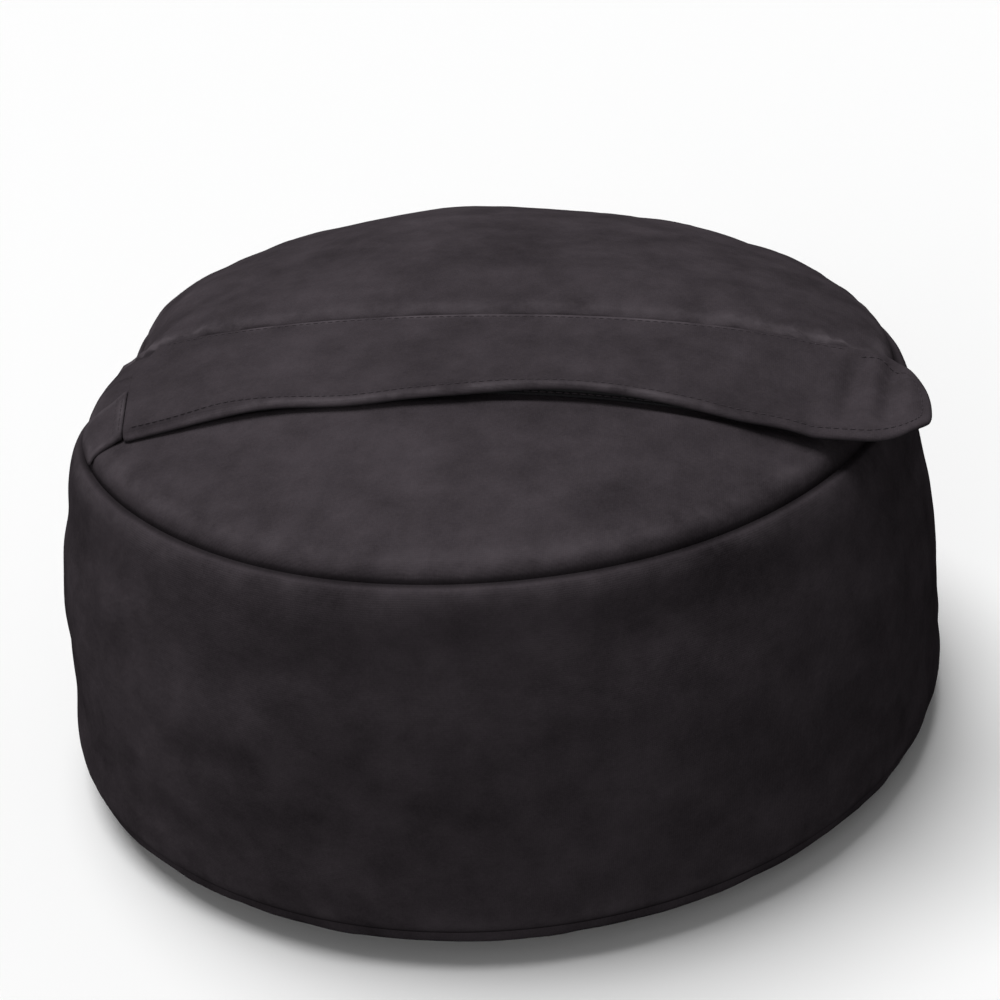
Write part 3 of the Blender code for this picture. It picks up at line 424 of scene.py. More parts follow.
def inward(outline):
    """Unit vectors that point inwards from each side of a counter-clockwise outline."""
    after = unit(np.roll(outline, -1, axis=0) - outline)
    return np.stack((-after[:, 1], after[:, 0]), axis=1)


def inset(outline, distance):
    """Move a closed convex outline inwards; it runs counter-clockwise."""
    normal = inward(outline)
    before = np.roll(normal, 1, axis=0)
    corner = (normal + before) / (1.0 + (normal * before).sum(axis=1))[:, None]
    return outline + corner * distance


def depth_in(outline, points):
    """How far each point lies inside a closed convex outline."""
    normal = inward(outline)
    base = (outline * normal).sum(axis=1)
    return np.concatenate([(chunk @ normal.T - base).min(axis=1)
                           for chunk in np.array_split(points, max(1, len(points) // 2000))])


def lattice(low, high, spacing):
    """A staggered net of points over a rectangle."""
    rows = []
    for number, y in enumerate(np.arange(low[1], high[1], spacing * 0.866)):
        xs = np.arange(low[0] + (number % 2) * spacing / 2, high[0], spacing)
        rows.append(np.stack((xs, np.full(len(xs), y)), axis=1))
    return np.concatenate(rows)


def cut_plan(outline, insets, spacing, lines=()):
    """Triangles over a convex outline, with rings that follow its edge and rows along some lines."""
    rings = [inset(outline, distance) for distance in insets]
    net = lattice(outline.min(axis=0), outline.max(axis=0), spacing)
    net = net[depth_in(outline, net) > insets[-1] + spacing * 0.55]
    extra = []
    for line in lines:
        line = line[depth_in(outline, line) > insets[-1] + 0.0002]
        if len(line) and len(net):
            gap = np.abs(net[:, None, :] - line[None, ::2, :])
            near = (gap[:, :, 1] < spacing * 0.45) & (gap[:, :, 0] < spacing)
            net = net[~near.any(axis=1)]
        extra.append(line)
    points = np.concatenate(rings + extra + [net])
    count = len(outline)
    edges = [(i, (i + 1) % count) for i in range(count)]
    start = sum(len(ring) for ring in rings)
    for line in extra:
        edges += [(start + i, start + i + 1) for i in range(len(line) - 1)]
        start += len(line)
    found = geometry.delaunay_2d_cdt([Vector(p) for p in points], edges, [], 1, 1e-7)
    plan = np.array([tuple(v) for v in found[0]])
    faces = np.array([tuple(f) for f in found[2]])
    first, second, third = plan[faces[:, 0]], plan[faces[:, 1]], plan[faces[:, 2]]
    turn = ((second - first)[:, 0] * (third - first)[:, 1]
            - (second - first)[:, 1] * (third - first)[:, 0])
    faces[turn < 0] = faces[turn < 0][:, ::-1]
    return plan, faces, np.maximum(depth_in(outline, plan), 0.0)


def sewn_solid(name, plan, faces, depth, face_height, thickness, round_edge, material,
               hem=None, wear_and_painted_shade=None, lining=None):
    """A flat sewn piece over a plan: its face, its back and an edge rolled over its thickness."""
    x, y = plan[:, 0], plan[:, 1]
    roll = np.sqrt(np.maximum(1.0 - (1.0 - np.minimum(depth / round_edge, 1.0)) ** 2, 0.0))
    middle = face_height(x, y) - thickness / 2
    raised = hem(x, y, depth) if hem else np.zeros(len(plan))
    upper = middle + (thickness / 2) * roll + raised * roll
    lower = middle - (thickness / 2) * roll
    rim = depth < 1e-6
    points = np.concatenate((np.column_stack((x, y, upper)), np.column_stack((x, y, lower))[~rim]))
    back = np.full(len(plan), -1)
    back[~rim] = len(plan) + np.arange((~rim).sum())
    back[rim] = np.nonzero(rim)[0]
    all_faces = np.concatenate((faces, back[faces][:, ::-1]))
    flat = np.concatenate((plan, plan[~rim]))
    rub_and_shade = wear_and_painted_shade(x, y, depth) if wear_and_painted_shade else np.zeros(len(plan))
    rub_and_shade = np.concatenate((rub_and_shade, rub_and_shade[~rim] * 0.3))
    piece = make_mesh(name, points, all_faces, material, flat, rub_and_shade)
    if lining:
        piece.data.materials.append(lining)
        inner = np.arange(len(all_faces)) >= len(faces)
        piece.data.polygons.foreach_set("material_index", inner.astype(np.int32))
    return piece


def sleeve(rings):
    """Faces of a sleeve through rings of points, closed at both ends."""
    sides = len(rings[0])
    faces = [(first[k], first[(k + 1) % sides], second[(k + 1) % sides], second[k])
             for first, second in zip(rings, rings[1:]) for k in range(sides)]
    return faces + [tuple(reversed(rings[0])), tuple(rings[-1])]


def thread_run(path, normals, pitch, width, sides=6):
    """A row of stitches along a path: each is a short thread that dips into the cloth at both ends."""
    path, normals = np.asarray(path, float), np.asarray(normals, float)
    steps = np.linalg.norm(np.diff(path, axis=0), axis=1)
    along = np.concatenate(([0.0], np.cumsum(steps)))
    count = max(int(along[-1] / pitch), 1)
    profile = [(0.0, 0.30, -0.9), (0.12, 0.9, -0.15), (0.35, 1.0, 0.32), (0.65, 1.0, 0.32),
               (0.88, 0.9, -0.15), (1.0, 0.30, -0.9)]
    points, faces = [], []
    for number in range(count):
        start = along[-1] * number / count
        length = along[-1] / count * 0.86
        rings = []
        for share, swell, lift in profile:
            at = start + length * share
            place, ahead, behind = (np.array([np.interp(where, along, path[:, k]) for k in range(3)])
                                    for where in (at, at + 1e-4, at - 1e-4))
            up = np.array([np.interp(at, along, normals[:, k]) for k in range(3)])
            up /= np.linalg.norm(up)
            side = np.cross(ahead - behind, up)
            side /= max(np.linalg.norm(side), 1e-12)
            centre = place + up * lift * width / 2
            ring = []
            for k in range(sides):
                angle = 2 * math.pi * k / sides
                offset = (math.cos(angle) * side + math.sin(angle) * up) * width / 2 * swell
                ring.append(len(points))
                points.append(centre + offset)
            rings.append(ring)
        faces += sleeve(rings)
    return points, faces


def thread_piece(name, runs, material, settings):
    """One object for several rows of stitches."""
    points, faces = [], []
    for path, normals in runs:
        run_points, run_faces = thread_run(path, normals, settings.stitch_length, settings.thread_width)
        faces += [tuple(k + len(points) for k in face) for face in run_faces]
        points += run_points
    return plain_mesh(name, points, faces, material)


def surface_path(plan_path, height, lift=0.0):
    """Points and upward normals along a path on a height field."""
    plan_path = np.asarray(plan_path, float)
    x, y = plan_path[:, 0], plan_path[:, 1]
    step = 0.0006
    slope_x = (height(x + step, y) - height(x - step, y)) / (2 * step)
    slope_y = (height(x, y + step) - height(x, y - step)) / (2 * step)
    normal = unit(np.column_stack((-slope_x, -slope_y, np.ones(len(x)))))
    return np.column_stack((x, y, height(x, y) + lift)), normal


def resample(path, spacing):
    """Even points along a path."""
    path = np.asarray(path, float)
    along = np.concatenate(([0.0], np.cumsum(np.linalg.norm(np.diff(path, axis=0), axis=1))))
    count = max(int(round(along[-1] / spacing)), 1)
    at = np.linspace(0.0, along[-1], count + 1)
    return np.column_stack([np.interp(at, along, path[:, k]) for k in range(path.shape[1])])


def left_end(y, inward=0.0):
    """Point on the flap's slanted left end at y, or a little inward of it."""
    share = (y - FLAP_NEAR_Y) / (FOLD_Y - FLAP_NEAR_Y)
    return np.array([inward - 0.1535 - 0.0110 * share, y])


def flap_outline(spacing):
    """Plan outline of the flap, counter-clockwise from its left end of the free edge."""
    half = FLAP_WIDTH / 2 - 0.00075
    middle = FLAP_NEAR_Y + half
    angles = np.linspace(-1.0, 1.0, 61)
    share = np.abs(np.sin(angles * math.pi / 2))
    corner = TONGUE_CORNER * (1.0 - (1.0 - share ** TONGUE_ROUND) ** (1.0 / TONGUE_ROUND))
    tongue = np.column_stack((FLAP_RIGHT - corner, middle + half * np.sin(angles * math.pi / 2)))
    start = np.array([left_end(FOLD_Y), left_end(FLAP_NEAR_Y + 0.0020),
                      left_end(FLAP_NEAR_Y + 0.00075, 0.0020)])
    path = np.concatenate((start, tongue, [left_end(FOLD_Y, 0.0100)], start[:1]))
    path[-2, 1] = middle + half
    return resample(path, spacing)[:-1]


def flap_place(plan):
    """Plan of the flap with its free edge let out at the left and taken in over the middle."""
    x, y = plan[:, 0], plan[:, 1]
    across = np.clip((FLAP_SEAM_Y - y) / FLAP_WIDTH, 0.0, 1.0)
    return np.column_stack((x, y - spline(x, EDGE_PLACES, EDGE_LETS) * across))


# Finishes

def socket(tree, name, kind, direction, default=None):
    """Add a named socket to a node group."""
    made = tree.interface.new_socket(name=name, in_out=direction, socket_type=kind)
    if default is not None:
        made.default_value = default
    return made


class Wiring:
    """Short calls for laying out a node tree."""

    def __init__(self, tree):
        self.tree = tree

    def add(self, kind, **values):
        """A new node with some of its settings."""
        node = self.tree.nodes.new(kind)
        for key, value in values.items():
            setattr(node, key, value)
        return node

    def join(self, output, target):
        """Run an output into an input."""
        self.tree.links.new(output, target)

    def math(self, operation, first, second=None, third=None):
        """The result of an operation on outputs and plain numbers."""
        node = self.add("ShaderNodeMath", operation=operation)
        for index, value in enumerate((first, second, third)):
            if value is None:
                continue
            if hasattr(value, "is_linked"):
                self.join(value, node.inputs[index])
            else:
                node.inputs[index].default_value = value
        return node.outputs[0]

    def noise(self, vector, scale, detail, roughness):
        """Cloudy grey noise over some coordinates."""
        node = self.add("ShaderNodeTexNoise")
        node.inputs["Scale"].default_value = scale
        node.inputs["Detail"].default_value = detail
        node.inputs["Roughness"].default_value = roughness
        self.join(vector, node.inputs["Vector"])
        return node.outputs["Fac"]

    def bump(self, height, strength, distance, normal=None):
        """A normal that a height has tilted, on top of another one."""
        node = self.add("ShaderNodeBump")
        node.inputs["Strength"].default_value = strength
        node.inputs["Distance"].default_value = distance
        self.join(height, node.inputs["Height"])
        if normal is not None:
            self.join(normal, node.inputs["Normal"])
        return node.outputs["Normal"]

    def seen(self):
        """1 where the camera, a reflection or glass looks, and 0 for light that bounces."""
        path = self.add("ShaderNodeLightPath")
        seen = self.math("MAXIMUM", path.outputs["Is Camera Ray"], path.outputs["Is Glossy Ray"])
        return self.math("MAXIMUM", seen, path.outputs["Is Transmission Ray"])


def new_material(name):
    """A new finish, with its wiring and its shader."""
    material = bpy.data.materials.new(name)
    material.use_nodes = True
    return material, Wiring(material.node_tree), material.node_tree.nodes["Principled BSDF"]


def weave_group():
    """Plain weave of flat yarns: a height and a shade that change from yarn to yarn."""
    found = bpy.data.node_groups.get("Plain weave")
    if found:
        return found
    tree = bpy.data.node_groups.new("Plain weave", "ShaderNodeTree")
    socket(tree, "Cloth", "NodeSocketVector", "INPUT")
    socket(tree, "Pitch across", "NodeSocketFloat", "INPUT", 0.0008)
    socket(tree, "Pitch along", "NodeSocketFloat", "INPUT", 0.0008)
    socket(tree, "Height", "NodeSocketFloat", "OUTPUT")
    socket(tree, "Shade", "NodeSocketFloat", "OUTPUT")
    w = Wiring(tree)
    start, end = w.add("NodeGroupInput"), w.add("NodeGroupOutput")
    wobble = w.add("ShaderNodeTexNoise")
    wobble.inputs["Scale"].default_value = 90.0
    wobble.inputs["Detail"].default_value = 1.0
    w.join(start.outputs["Cloth"], wobble.inputs["Vector"])
    shift = w.add("ShaderNodeVectorMath", operation="MULTIPLY_ADD")
    w.join(wobble.outputs["Color"], shift.inputs[0])
    shift.inputs[1].default_value = (0.0009, 0.0009, 0.0)
    w.join(start.outputs["Cloth"], shift.inputs[2])
    parts = w.add("ShaderNodeSeparateXYZ")
    w.join(shift.outputs[0], parts.inputs[0])
    u = w.math("DIVIDE", parts.outputs[0], start.outputs["Pitch across"])
    v = w.math("DIVIDE", parts.outputs[1], start.outputs["Pitch along"])
    round_u = w.math("ABSOLUTE", w.math("SINE", w.math("MULTIPLY", u, math.pi)))
    round_v = w.math("ABSOLUTE", w.math("SINE", w.math("MULTIPLY", v, math.pi)))
    odd = w.math("PINGPONG", w.math("ADD", w.math("FLOOR", u), w.math("FLOOR", v)), 1.0)
    warp = w.math("MULTIPLY", w.math("POWER", round_u, 0.6), w.math("MULTIPLY_ADD", round_v, 0.5, 0.5))
    weft = w.math("MULTIPLY", w.math("POWER", round_v, 0.6), w.math("MULTIPLY_ADD", round_u, 0.5, 0.5))
    over = w.math("MULTIPLY", warp, odd)
    under = w.math("MULTIPLY", weft, w.math("SUBTRACT", 1.0, odd))
    height = w.math("ADD", over, under)
    w.join(height, end.inputs["Height"])
    w.join(w.math("MULTIPLY_ADD", height, 0.5, 0.5), end.inputs["Shade"])
    return tree


def handling_group():
    """Uneven tone of handled cloth: broad clouds, small scuffs and lint, and rubbed ridges."""
    found = bpy.data.node_groups.get("Handled cloth")
    if found:
        return found
    tree = bpy.data.node_groups.new("Handled cloth", "ShaderNodeTree")
    socket(tree, "Place", "NodeSocketVector", "INPUT")
    socket(tree, "Wear", "NodeSocketFloat", "INPUT", 0.0)
    socket(tree, "Clouding", "NodeSocketFloat", "INPUT", 0.3)
    socket(tree, "Tone", "NodeSocketFloat", "OUTPUT")
    socket(tree, "Rub", "NodeSocketFloat", "OUTPUT")
    socket(tree, "Relief", "NodeSocketFloat", "OUTPUT")
    w = Wiring(tree)
    start, end = w.add("NodeGroupInput"), w.add("NodeGroupOutput")
    broad = w.noise(start.outputs["Place"], 9.0, 3.0, 0.6)
    middle = w.noise(start.outputs["Place"], 46.0, 4.0, 0.62)
    fine = w.noise(start.outputs["Place"], 900.0, 2.0, 0.6)
    mixed = w.math("ADD", w.math("MULTIPLY", broad, 0.40), w.math("MULTIPLY", middle, 0.42))
    mixed = w.math("ADD", mixed, w.math("MULTIPLY", fine, 0.18))
    centred = w.math("SUBTRACT", mixed, 0.5)
    creased = w.noise(start.outputs["Place"], 120.0, 2.0, 0.5)
    w.join(w.math("ADD", w.math("MULTIPLY", middle, 0.6), w.math("MULTIPLY", creased, 0.4)),
           end.inputs["Relief"])
    w.join(w.math("MULTIPLY_ADD", centred, w.math("MULTIPLY", start.outputs["Clouding"], 4.0), 1.0),
           end.inputs["Tone"])
    patchy = w.math("MULTIPLY_ADD", middle, 3.0, -0.9)
    patchy = w.math("MINIMUM", w.math("MAXIMUM", patchy, 0.0), 1.0)
    w.join(w.math("MULTIPLY", start.outputs["Wear"], patchy), end.inputs["Rub"])
    return tree


def cloth_material(name, colour, pitch, depth, clouding, roughness, sheen):
    """Woven cloth of one colour, with its weave, its uneven tone, its rubbed ridges and the painted shade
    in the bottoms of its seams.
    """
    material = bpy.data.materials.get(name)
    if material:
        return material
    material, w, shader = new_material(name)
    place = w.add("ShaderNodeTexCoord")
    cloth = w.add("ShaderNodeUVMap", uv_map="Cloth")
    rub_and_shade = w.add("ShaderNodeAttribute", attribute_name="wear_and_painted_shade")
    weave = w.add("ShaderNodeGroup", node_tree=weave_group())
    weave.inputs["Pitch across"].default_value = pitch[0]
    weave.inputs["Pitch along"].default_value = pitch[1]
    w.join(cloth.outputs["UV"], weave.inputs["Cloth"])
    handled = w.add("ShaderNodeGroup", node_tree=handling_group())
    handled.inputs["Clouding"].default_value = clouding
    w.join(place.outputs["Object"], handled.inputs["Place"])
    w.join(rub_and_shade.outputs["Fac"], handled.inputs["Wear"])
    tone = w.math("MULTIPLY", handled.outputs["Tone"],
                  w.math("MULTIPLY_ADD", weave.outputs["Shade"], 0.14, 0.90))
    # Negative values of the mask are painted shade, darkening the bottom of a seam
    painted_seam_shade = w.math("MINIMUM", rub_and_shade.outputs["Fac"], 0.0)
    tone = w.math("MULTIPLY", tone, w.math("ADD", painted_seam_shade, 1.0))
    tinted = w.add("ShaderNodeMix", data_type="RGBA", blend_type="MULTIPLY")
    tinted.inputs["Factor"].default_value = 1.0
    tinted.inputs["A"].default_value = (*colour, 1.0)
    grey = w.add("ShaderNodeCombineColor")
    for index in range(3):
        w.join(tone, grey.inputs[index])
    w.join(grey.outputs[0], tinted.inputs["B"])
    worn = w.add("ShaderNodeMix", data_type="RGBA")
    w.join(handled.outputs["Rub"], worn.inputs["Factor"])
    w.join(tinted.outputs["Result"], worn.inputs["A"])
    worn.inputs["B"].default_value = tuple(min(c * 1.9 + 0.012, 1.0) for c in colour) + (1.0,)
    w.join(worn.outputs["Result"], shader.inputs["Base Color"])
    shader.inputs["Roughness"].default_value = roughness
    shader.inputs["Specular IOR Level"].default_value = 0.0
    shader.inputs["Sheen Weight"].default_value = sheen
    shader.inputs["Sheen Roughness"].default_value = 0.55
    crumple = w.bump(handled.outputs["Relief"], 0.6, 0.0022)
    w.join(w.bump(weave.outputs["Height"], 0.55, depth, crumple), shader.inputs["Normal"])
    return material


def plain_material(name, colour, roughness, metallic, fleck, scale, relief=0.0, gloss=0.5):
    """A finish with a fine fleck of tone and a little relief."""
    material = bpy.data.materials.get(name)
    if material:
        return material
    material, w, shader = new_material(name)
    place = w.add("ShaderNodeTexCoord")
    value = w.noise(place.outputs["Object"], scale, 3.0, 0.6)
    tinted = w.add("ShaderNodeMix", data_type="RGBA")
    w.join(value, tinted.inputs["Factor"])
    tinted.inputs["A"].default_value = tuple(c * (1.0 - fleck) for c in colour) + (1.0,)
    tinted.inputs["B"].default_value = tuple(min(c * (1.0 + fleck), 1.0) for c in colour) + (1.0,)
    w.join(tinted.outputs["Result"], shader.inputs["Base Color"])
    w.join(w.math("MULTIPLY_ADD", value, 0.2, roughness - 0.1), shader.inputs["Roughness"])
    shader.inputs["Metallic"].default_value = metallic
    shader.inputs["Specular IOR Level"].default_value = gloss
    if relief:
        w.join(w.bump(value, 0.6, relief), shader.inputs["Normal"])
    return material


def finishes():
    """The part's finishes by name, built once from the colours in the panel."""
    tones = bpy.context.scene.sandbag_colours
    return {
        # Pitch of the weave, its depth, clouding, roughness and sheen
        "nylon": cloth_material("Bag nylon", tones.nylon, (0.0009, 0.0009), 0.00012, 0.60, 0.90, 0.0),
        "lining": cloth_material("Flap lining", tones.lining, (0.0007, 0.0007), 0.00016, 0.25, 0.88, 0.0),
        "binding": cloth_material("Binding tape", tones.binding, (0.0016, 0.0008), 0.00025, 0.25, 0.8, 0.1),
        # Roughness, metal, fleck, its scale, relief and gloss
        "thread": plain_material("Sewing thread", tones.thread, 0.85, 0.0, 0.25, 2600.0, 0.0, 0.05),
        "hook": plain_material("Hook tape", tones.hook, 0.6, 0.0, 0.6, 1900.0, 0.0008, 0.15),
        "loop": plain_material("Loop tape", tones.loop, 0.95, 0.0, 0.5, 1200.0, 0.0010, 0.0),
        "teeth": plain_material("Zip teeth", tones.teeth, 0.42, 0.0, 0.2, 900.0),
        "metal": plain_material("Slider metal", tones.metal, 0.38, 1.0, 0.15, 400.0),
        "sand": plain_material("Dry sand", tones.sand, 0.95, 0.0, 0.45, 1500.0, 0.0006),
    }


# Shell

def make_wall(materials):
    """The side wall, swollen by the sand between its two seams."""
    columns, rows = 336, 46
    angles = np.linspace(0.5 * math.pi, 2.5 * math.pi, columns + 1)
    share = np.linspace(0.0, 1.0, rows)
    share = share - 0.125 * np.sin(2 * math.pi * share)
    heights = BASE_SEAM_HEIGHT + (SEAM_HEIGHT - BASE_SEAM_HEIGHT) * share
    radii = wall_radius(heights)
    points, flat, ease, edge = [], [], [], []
    out, up = seam_wander(angles)
    for z, radius in zip(heights, radii):
        top = smooth_step(z, SEAM_HEIGHT - 0.040, SEAM_HEIGHT)
        reach = radius + out * top
        points.append(np.column_stack((reach * np.cos(angles), reach * np.sin(angles),
                                       z + up * top - seam_groove(SEAM_HEIGHT - z))))
        flat.append(np.column_stack((angles * WALL_RUN, np.full(columns + 1, z))))
        ease.append(np.full(columns + 1, max(1.0 - (SEAM_HEIGHT - z) / 0.030,
                                             0.8 * (1.0 - (z - BASE_SEAM_HEIGHT) / 0.026), 0.12)))
        edge.append(np.full(columns + 1, min(SEAM_HEIGHT - z, z - BASE_SEAM_HEIGHT)))
    points, flat = np.concatenate(points), np.concatenate(flat)
    ease, edge = np.concatenate(ease), np.concatenate(edge)
    # Broad slack folds that lean across the wall
    angle = np.arctan2(points[:, 1], points[:, 0])
    run, rise = flat[:, 0], points[:, 2]
    lean = np.column_stack((np.cos(angle) * WALL_RUN, np.sin(angle) * WALL_RUN,
                            rise * 2.2 + 0.10 * np.sin(angle)))
    slack = grain(lean, 15.0, 3.1) * 0.0017
    tight = grain(np.column_stack((points[:, 0], points[:, 1], rise * 0.4)), 60.0, 9.0) * 0.0006
    window = smooth_step(edge, 0.0, 0.030)
    seam_side = fade(edge, 0.012) * smooth_step(edge, 0.0, 0.004)
    join = np.minimum(run - run.min(), run.max() - run)
    move = slack * window * (1.0 - fade(join, 0.025)) + tight * (window * 0.5 + seam_side)
    puffed = (1.0 - fade(join, 0.0016)) * fade(join, 0.010)
    move += (0.0012 * puffed - 0.0007 * fade(join, 0.0014)) * window + wall_folds(angle, flat[:, 1])
    points[:, :2] *= (1.0 + move / np.hypot(points[:, 0], points[:, 1]))[:, None]
    width = columns + 1
    faces = [(i * width + j, i * width + j + 1, (i + 1) * width + j + 1, (i + 1) * width + j)
             for i in range(rows - 1) for j in range(columns)]
    # Lighter where the puffs beside the seams are rubbed, and painted shade in the groove of each seam
    wear_and_painted_shade = hill(edge - 0.006, 0.004) * 0.30 - 0.60 * hill(edge, 0.0019)
    wall = make_mesh("bag_wall", points, faces, materials["nylon"], flat, wear_and_painted_shade)
    # The two ends of the strip meet at the back in one upright seam
    seam = np.arange(rows) * width
    pinned = (edge < 0.0006).astype(float)
    pinned[seam] = pinned[seam + columns] = 1.0
    settle(wall, pinned, ease, WALL_GIVE)
    subdivide(wall)
    return wall


def subdivide(piece):
    """Round a piece off with one subdivision."""
    modifier = piece.modifiers.new("Subdivision", "SUBSURF")
    modifier.levels = modifier.render_levels = 1
    modifier.boundary_smooth = "PRESERVE_CORNERS"
    keep_shape(piece)


def slot_width(x):
    """Half the width of the opening between the two top panels."""
    return SLOT_HALF * (1.0 - smooth_step(np.abs(x), SLOT_END - 0.006, SLOT_END + 0.006))


def make_top(materials):
    """The domed top: one settled sheet, parted along the fill opening into its two panels."""
    count = 336
    angles = np.linspace(0.0, 2 * math.pi, count + 1)[:-1]
    outline = SEAM_RADIUS * np.column_stack((np.cos(angles), np.sin(angles)))
    lines = []
    for offset in (-0.0035, -0.0016, 0.0, 0.0014, 0.0030, 0.0050, 0.0078):
        xs = np.arange(-0.190, 0.190, 0.0030)
        lines.append(np.column_stack((xs, np.full(len(xs), FLAP_SEAM_Y + offset))))
    for side in (-1.0, 1.0):
        xs = np.arange(-0.192, 0.1921, 0.0040)
        lines.append(np.column_stack((xs, SLIT_Y + side * slot_width(xs))))
    insets = (0.0, 0.0011, 0.0024, 0.0040, 0.0060, 0.0086, 0.0118, 0.0155)
    plan, faces, depth = cut_plan(outline, insets, 0.0038, lines)
    x, y = plan[:, 0], plan[:, 1]
    height = panel_height(x, y)
    # The seam pulls the rim down into a valley
    height += 0.0024 * (1.0 - fade(depth, 0.0018)) * fade(depth, 0.012) - seam_groove(depth)
    angle = np.arctan2(y, x)
    out, up = seam_wander(angle)
    rim = fade(depth, 0.030)
    spread = 1.0 + out * rim / np.maximum(np.hypot(x, y), 1e-4)
    height = height + up * rim
    points = np.column_stack((x * spread, y * spread, height))
    # Cloth that gathers along the rim and along the flap's seam
    seam_gap = np.abs(y - FLAP_SEAM_Y)
    behind = y > FLAP_SEAM_Y
    covered = (smooth_step(y, FLAP_NEAR_Y - 0.012, FLAP_NEAR_Y + 0.002)
               * (1.0 - smooth_step(y, FLAP_SEAM_Y - 0.003, FLAP_SEAM_Y + 0.001))
               * (1.0 - smooth_step(x, 0.176, 0.190)))
    level = np.zeros(len(x))
    gather = grain(np.column_stack((x, y * 0.35, level)), 75.0, 4.0) * 0.0011
    ends = smooth_step(np.abs(x), 0.095, 0.160)
    pucker = fade(seam_gap, 0.011) * behind * smooth_step(seam_gap, 0.0, 0.003)
    lumps = grain(np.column_stack((x, y * 0.5, level)), 110.0, 21.0) * 0.0042
    crumple = np.abs(grain(np.column_stack((x, y * 0.8, level)), 150.0, 44.0)) * -0.0042
    slack = grain(np.column_stack((x * 1.1, y * 0.8, level)), 17.0, 12.0) * 0.0022
    folds = fade(depth, 0.013) * smooth_step(depth, 0.0, 0.004)
    ripple = grain(np.column_stack((angle * 0.2, depth * 0.3, level)), 70.0, 31.0) * 0.0008
    move = (gather * (0.25 + pucker * 1.2) + (lumps + crumple) * pucker * ends
            + slack * smooth_step(depth, 0.0, 0.04) + ripple * folds)
    points[:, 2] += move * (1.0 - covered) * smooth_step(depth, 0.0, 0.003)
    # Lighter on rubbed ridges and puckers, and painted shade in the groove of the round seam and along the
    # flap's seam
    wear_and_painted_shade = (hill(depth - 0.0065, 0.004) * 0.35 - 0.45 * hill(depth, 0.0014)
            - 0.45 * hill(seam_gap - 0.0006, 0.0014)
            + hill(seam_gap - 0.007, 0.004) * behind * (0.35 + 0.65 * ends))
    top = make_mesh("bag_top", points, faces, materials["nylon"], plan, wear_and_painted_shade)
    pinned = np.maximum((depth < 0.0004).astype(float), covered)
    pinned = np.maximum(pinned, (seam_gap < 0.0004).astype(float) * (np.abs(x) < 0.170))
    ease = np.maximum(1.0 - depth / 0.026, (1.0 - seam_gap / 0.022) * (0.5 + 0.5 * ends))
    settle(top, pinned, np.clip(ease, 0.15, 1.0), TOP_GIVE * (1.0 - covered) + 1e-5)
    points = coordinates(top.data)
    order = np.array([tuple(face.vertices) for face in top.data.polygons])
    middle = plan[order].mean(axis=1)
    width = slot_width(middle[:, 0])
    for name, node, keep in (("bag_top_front", "top_panel_front", middle[:, 1] < SLIT_Y - width),
                             ("bag_top_rear", "top_panel_rear", middle[:, 1] > SLIT_Y + width)):
        used, corners = np.unique(order[keep], return_inverse=True)
        panel = make_mesh(name, points[used], corners.reshape(-1, 3), materials["nylon"], plan[used],
                          wear_and_painted_shade[used])
        solid = panel.modifiers.new("Thickness", "SOLIDIFY")
        solid.thickness = TOP_SHEET
        solid.offset = -1.0
        keep_shape(panel)
        seat(panel, "shell_nylon", "shell", node)
    bpy.data.objects.remove(top, do_unlink=True)


def make_base(materials):
    """The base panel: its turned-up rim and the flat that the bag stands on."""
    columns = 240
    angles = np.linspace(0.0, 2 * math.pi, columns + 1)[:-1]
    edge = float(wall_radius(np.array([BASE_SEAM_HEIGHT]))[0])
    profile = []
    for angle in np.linspace(math.pi / 2, 0.0, 14):
        radius = BASE_FLAT_RADIUS + (edge - BASE_FLAT_RADIUS) * math.sin(angle)
        height = BASE_SEAM_HEIGHT * (1.0 - math.cos(angle))
        swell = 0.0016 * (1.0 - math.exp(-(BASE_SEAM_HEIGHT - height) / 0.0028))
        profile.append((radius + swell * height / BASE_SEAM_HEIGHT, height))
    profile += [(radius, 0.0) for radius in (0.165, 0.13, 0.09, 0.05, 0.02)]
    points, flat = [], []
    for radius, height in profile:
        points.append(np.column_stack((radius * np.cos(angles), radius * np.sin(angles),
                                       np.full(columns, height))))
        flat.append(points[-1][:, :2].copy())
    points, flat = np.concatenate(points), np.concatenate(flat)
    ripple = grain(points, 55.0, 17.0) * 0.0009
    rim = smooth_step(points[:, 2], 0.001, 0.006) * (1.0 - smooth_step(points[:, 2], 0.014, 0.018))
    reach = np.hypot(points[:, 0], points[:, 1])
    fuller = wall_folds(np.arctan2(points[:, 1], points[:, 0]), points[:, 2])
    fuller = fuller * smooth_step(reach, 0.8 * BASE_FLAT_RADIUS, BASE_FLAT_RADIUS)
    points[:, :2] *= (1.0 + (ripple * rim + fuller) / reach)[:, None]
    nexts = [(j + 1) % columns for j in range(columns)]
    faces = [(i * columns + j, (i + 1) * columns + j, (i + 1) * columns + n, i * columns + n)
             for i in range(len(profile) - 1) for j, n in enumerate(nexts)]
    start = (len(profile) - 1) * columns
    faces.append(tuple(start + j for j in reversed(range(columns))))
    rise = points[:, 2]
    wear_and_painted_shade = smooth_step(rise, 0.000, 0.004) * (1.0 - smooth_step(rise, 0.008, 0.016)) * 0.4
    return make_mesh("bag_base", points, faces, materials["nylon"], flat, wear_and_painted_shade)


# Flap

def hem_rise(x, y, depth):
    """Raised hem along the flap's free edges, with a groove under its stitching."""
    free = np.clip((FLAP_SEAM_Y - 0.012 - y) / 0.010, 0.0, 1.0)
    free = free * (1.0 - 0.75 * smooth_step(x, 0.090, 0.140)) * smooth_step(x, -0.140, -0.100)
    band = smooth_step(depth, 0.0, 0.0016) * (1.0 - smooth_step(depth, 0.0062, 0.0090))
    groove = hill(depth - FLAP_HEM_ROW, 0.0009)
    return (0.0008 * band - 0.0003 * groove) * free


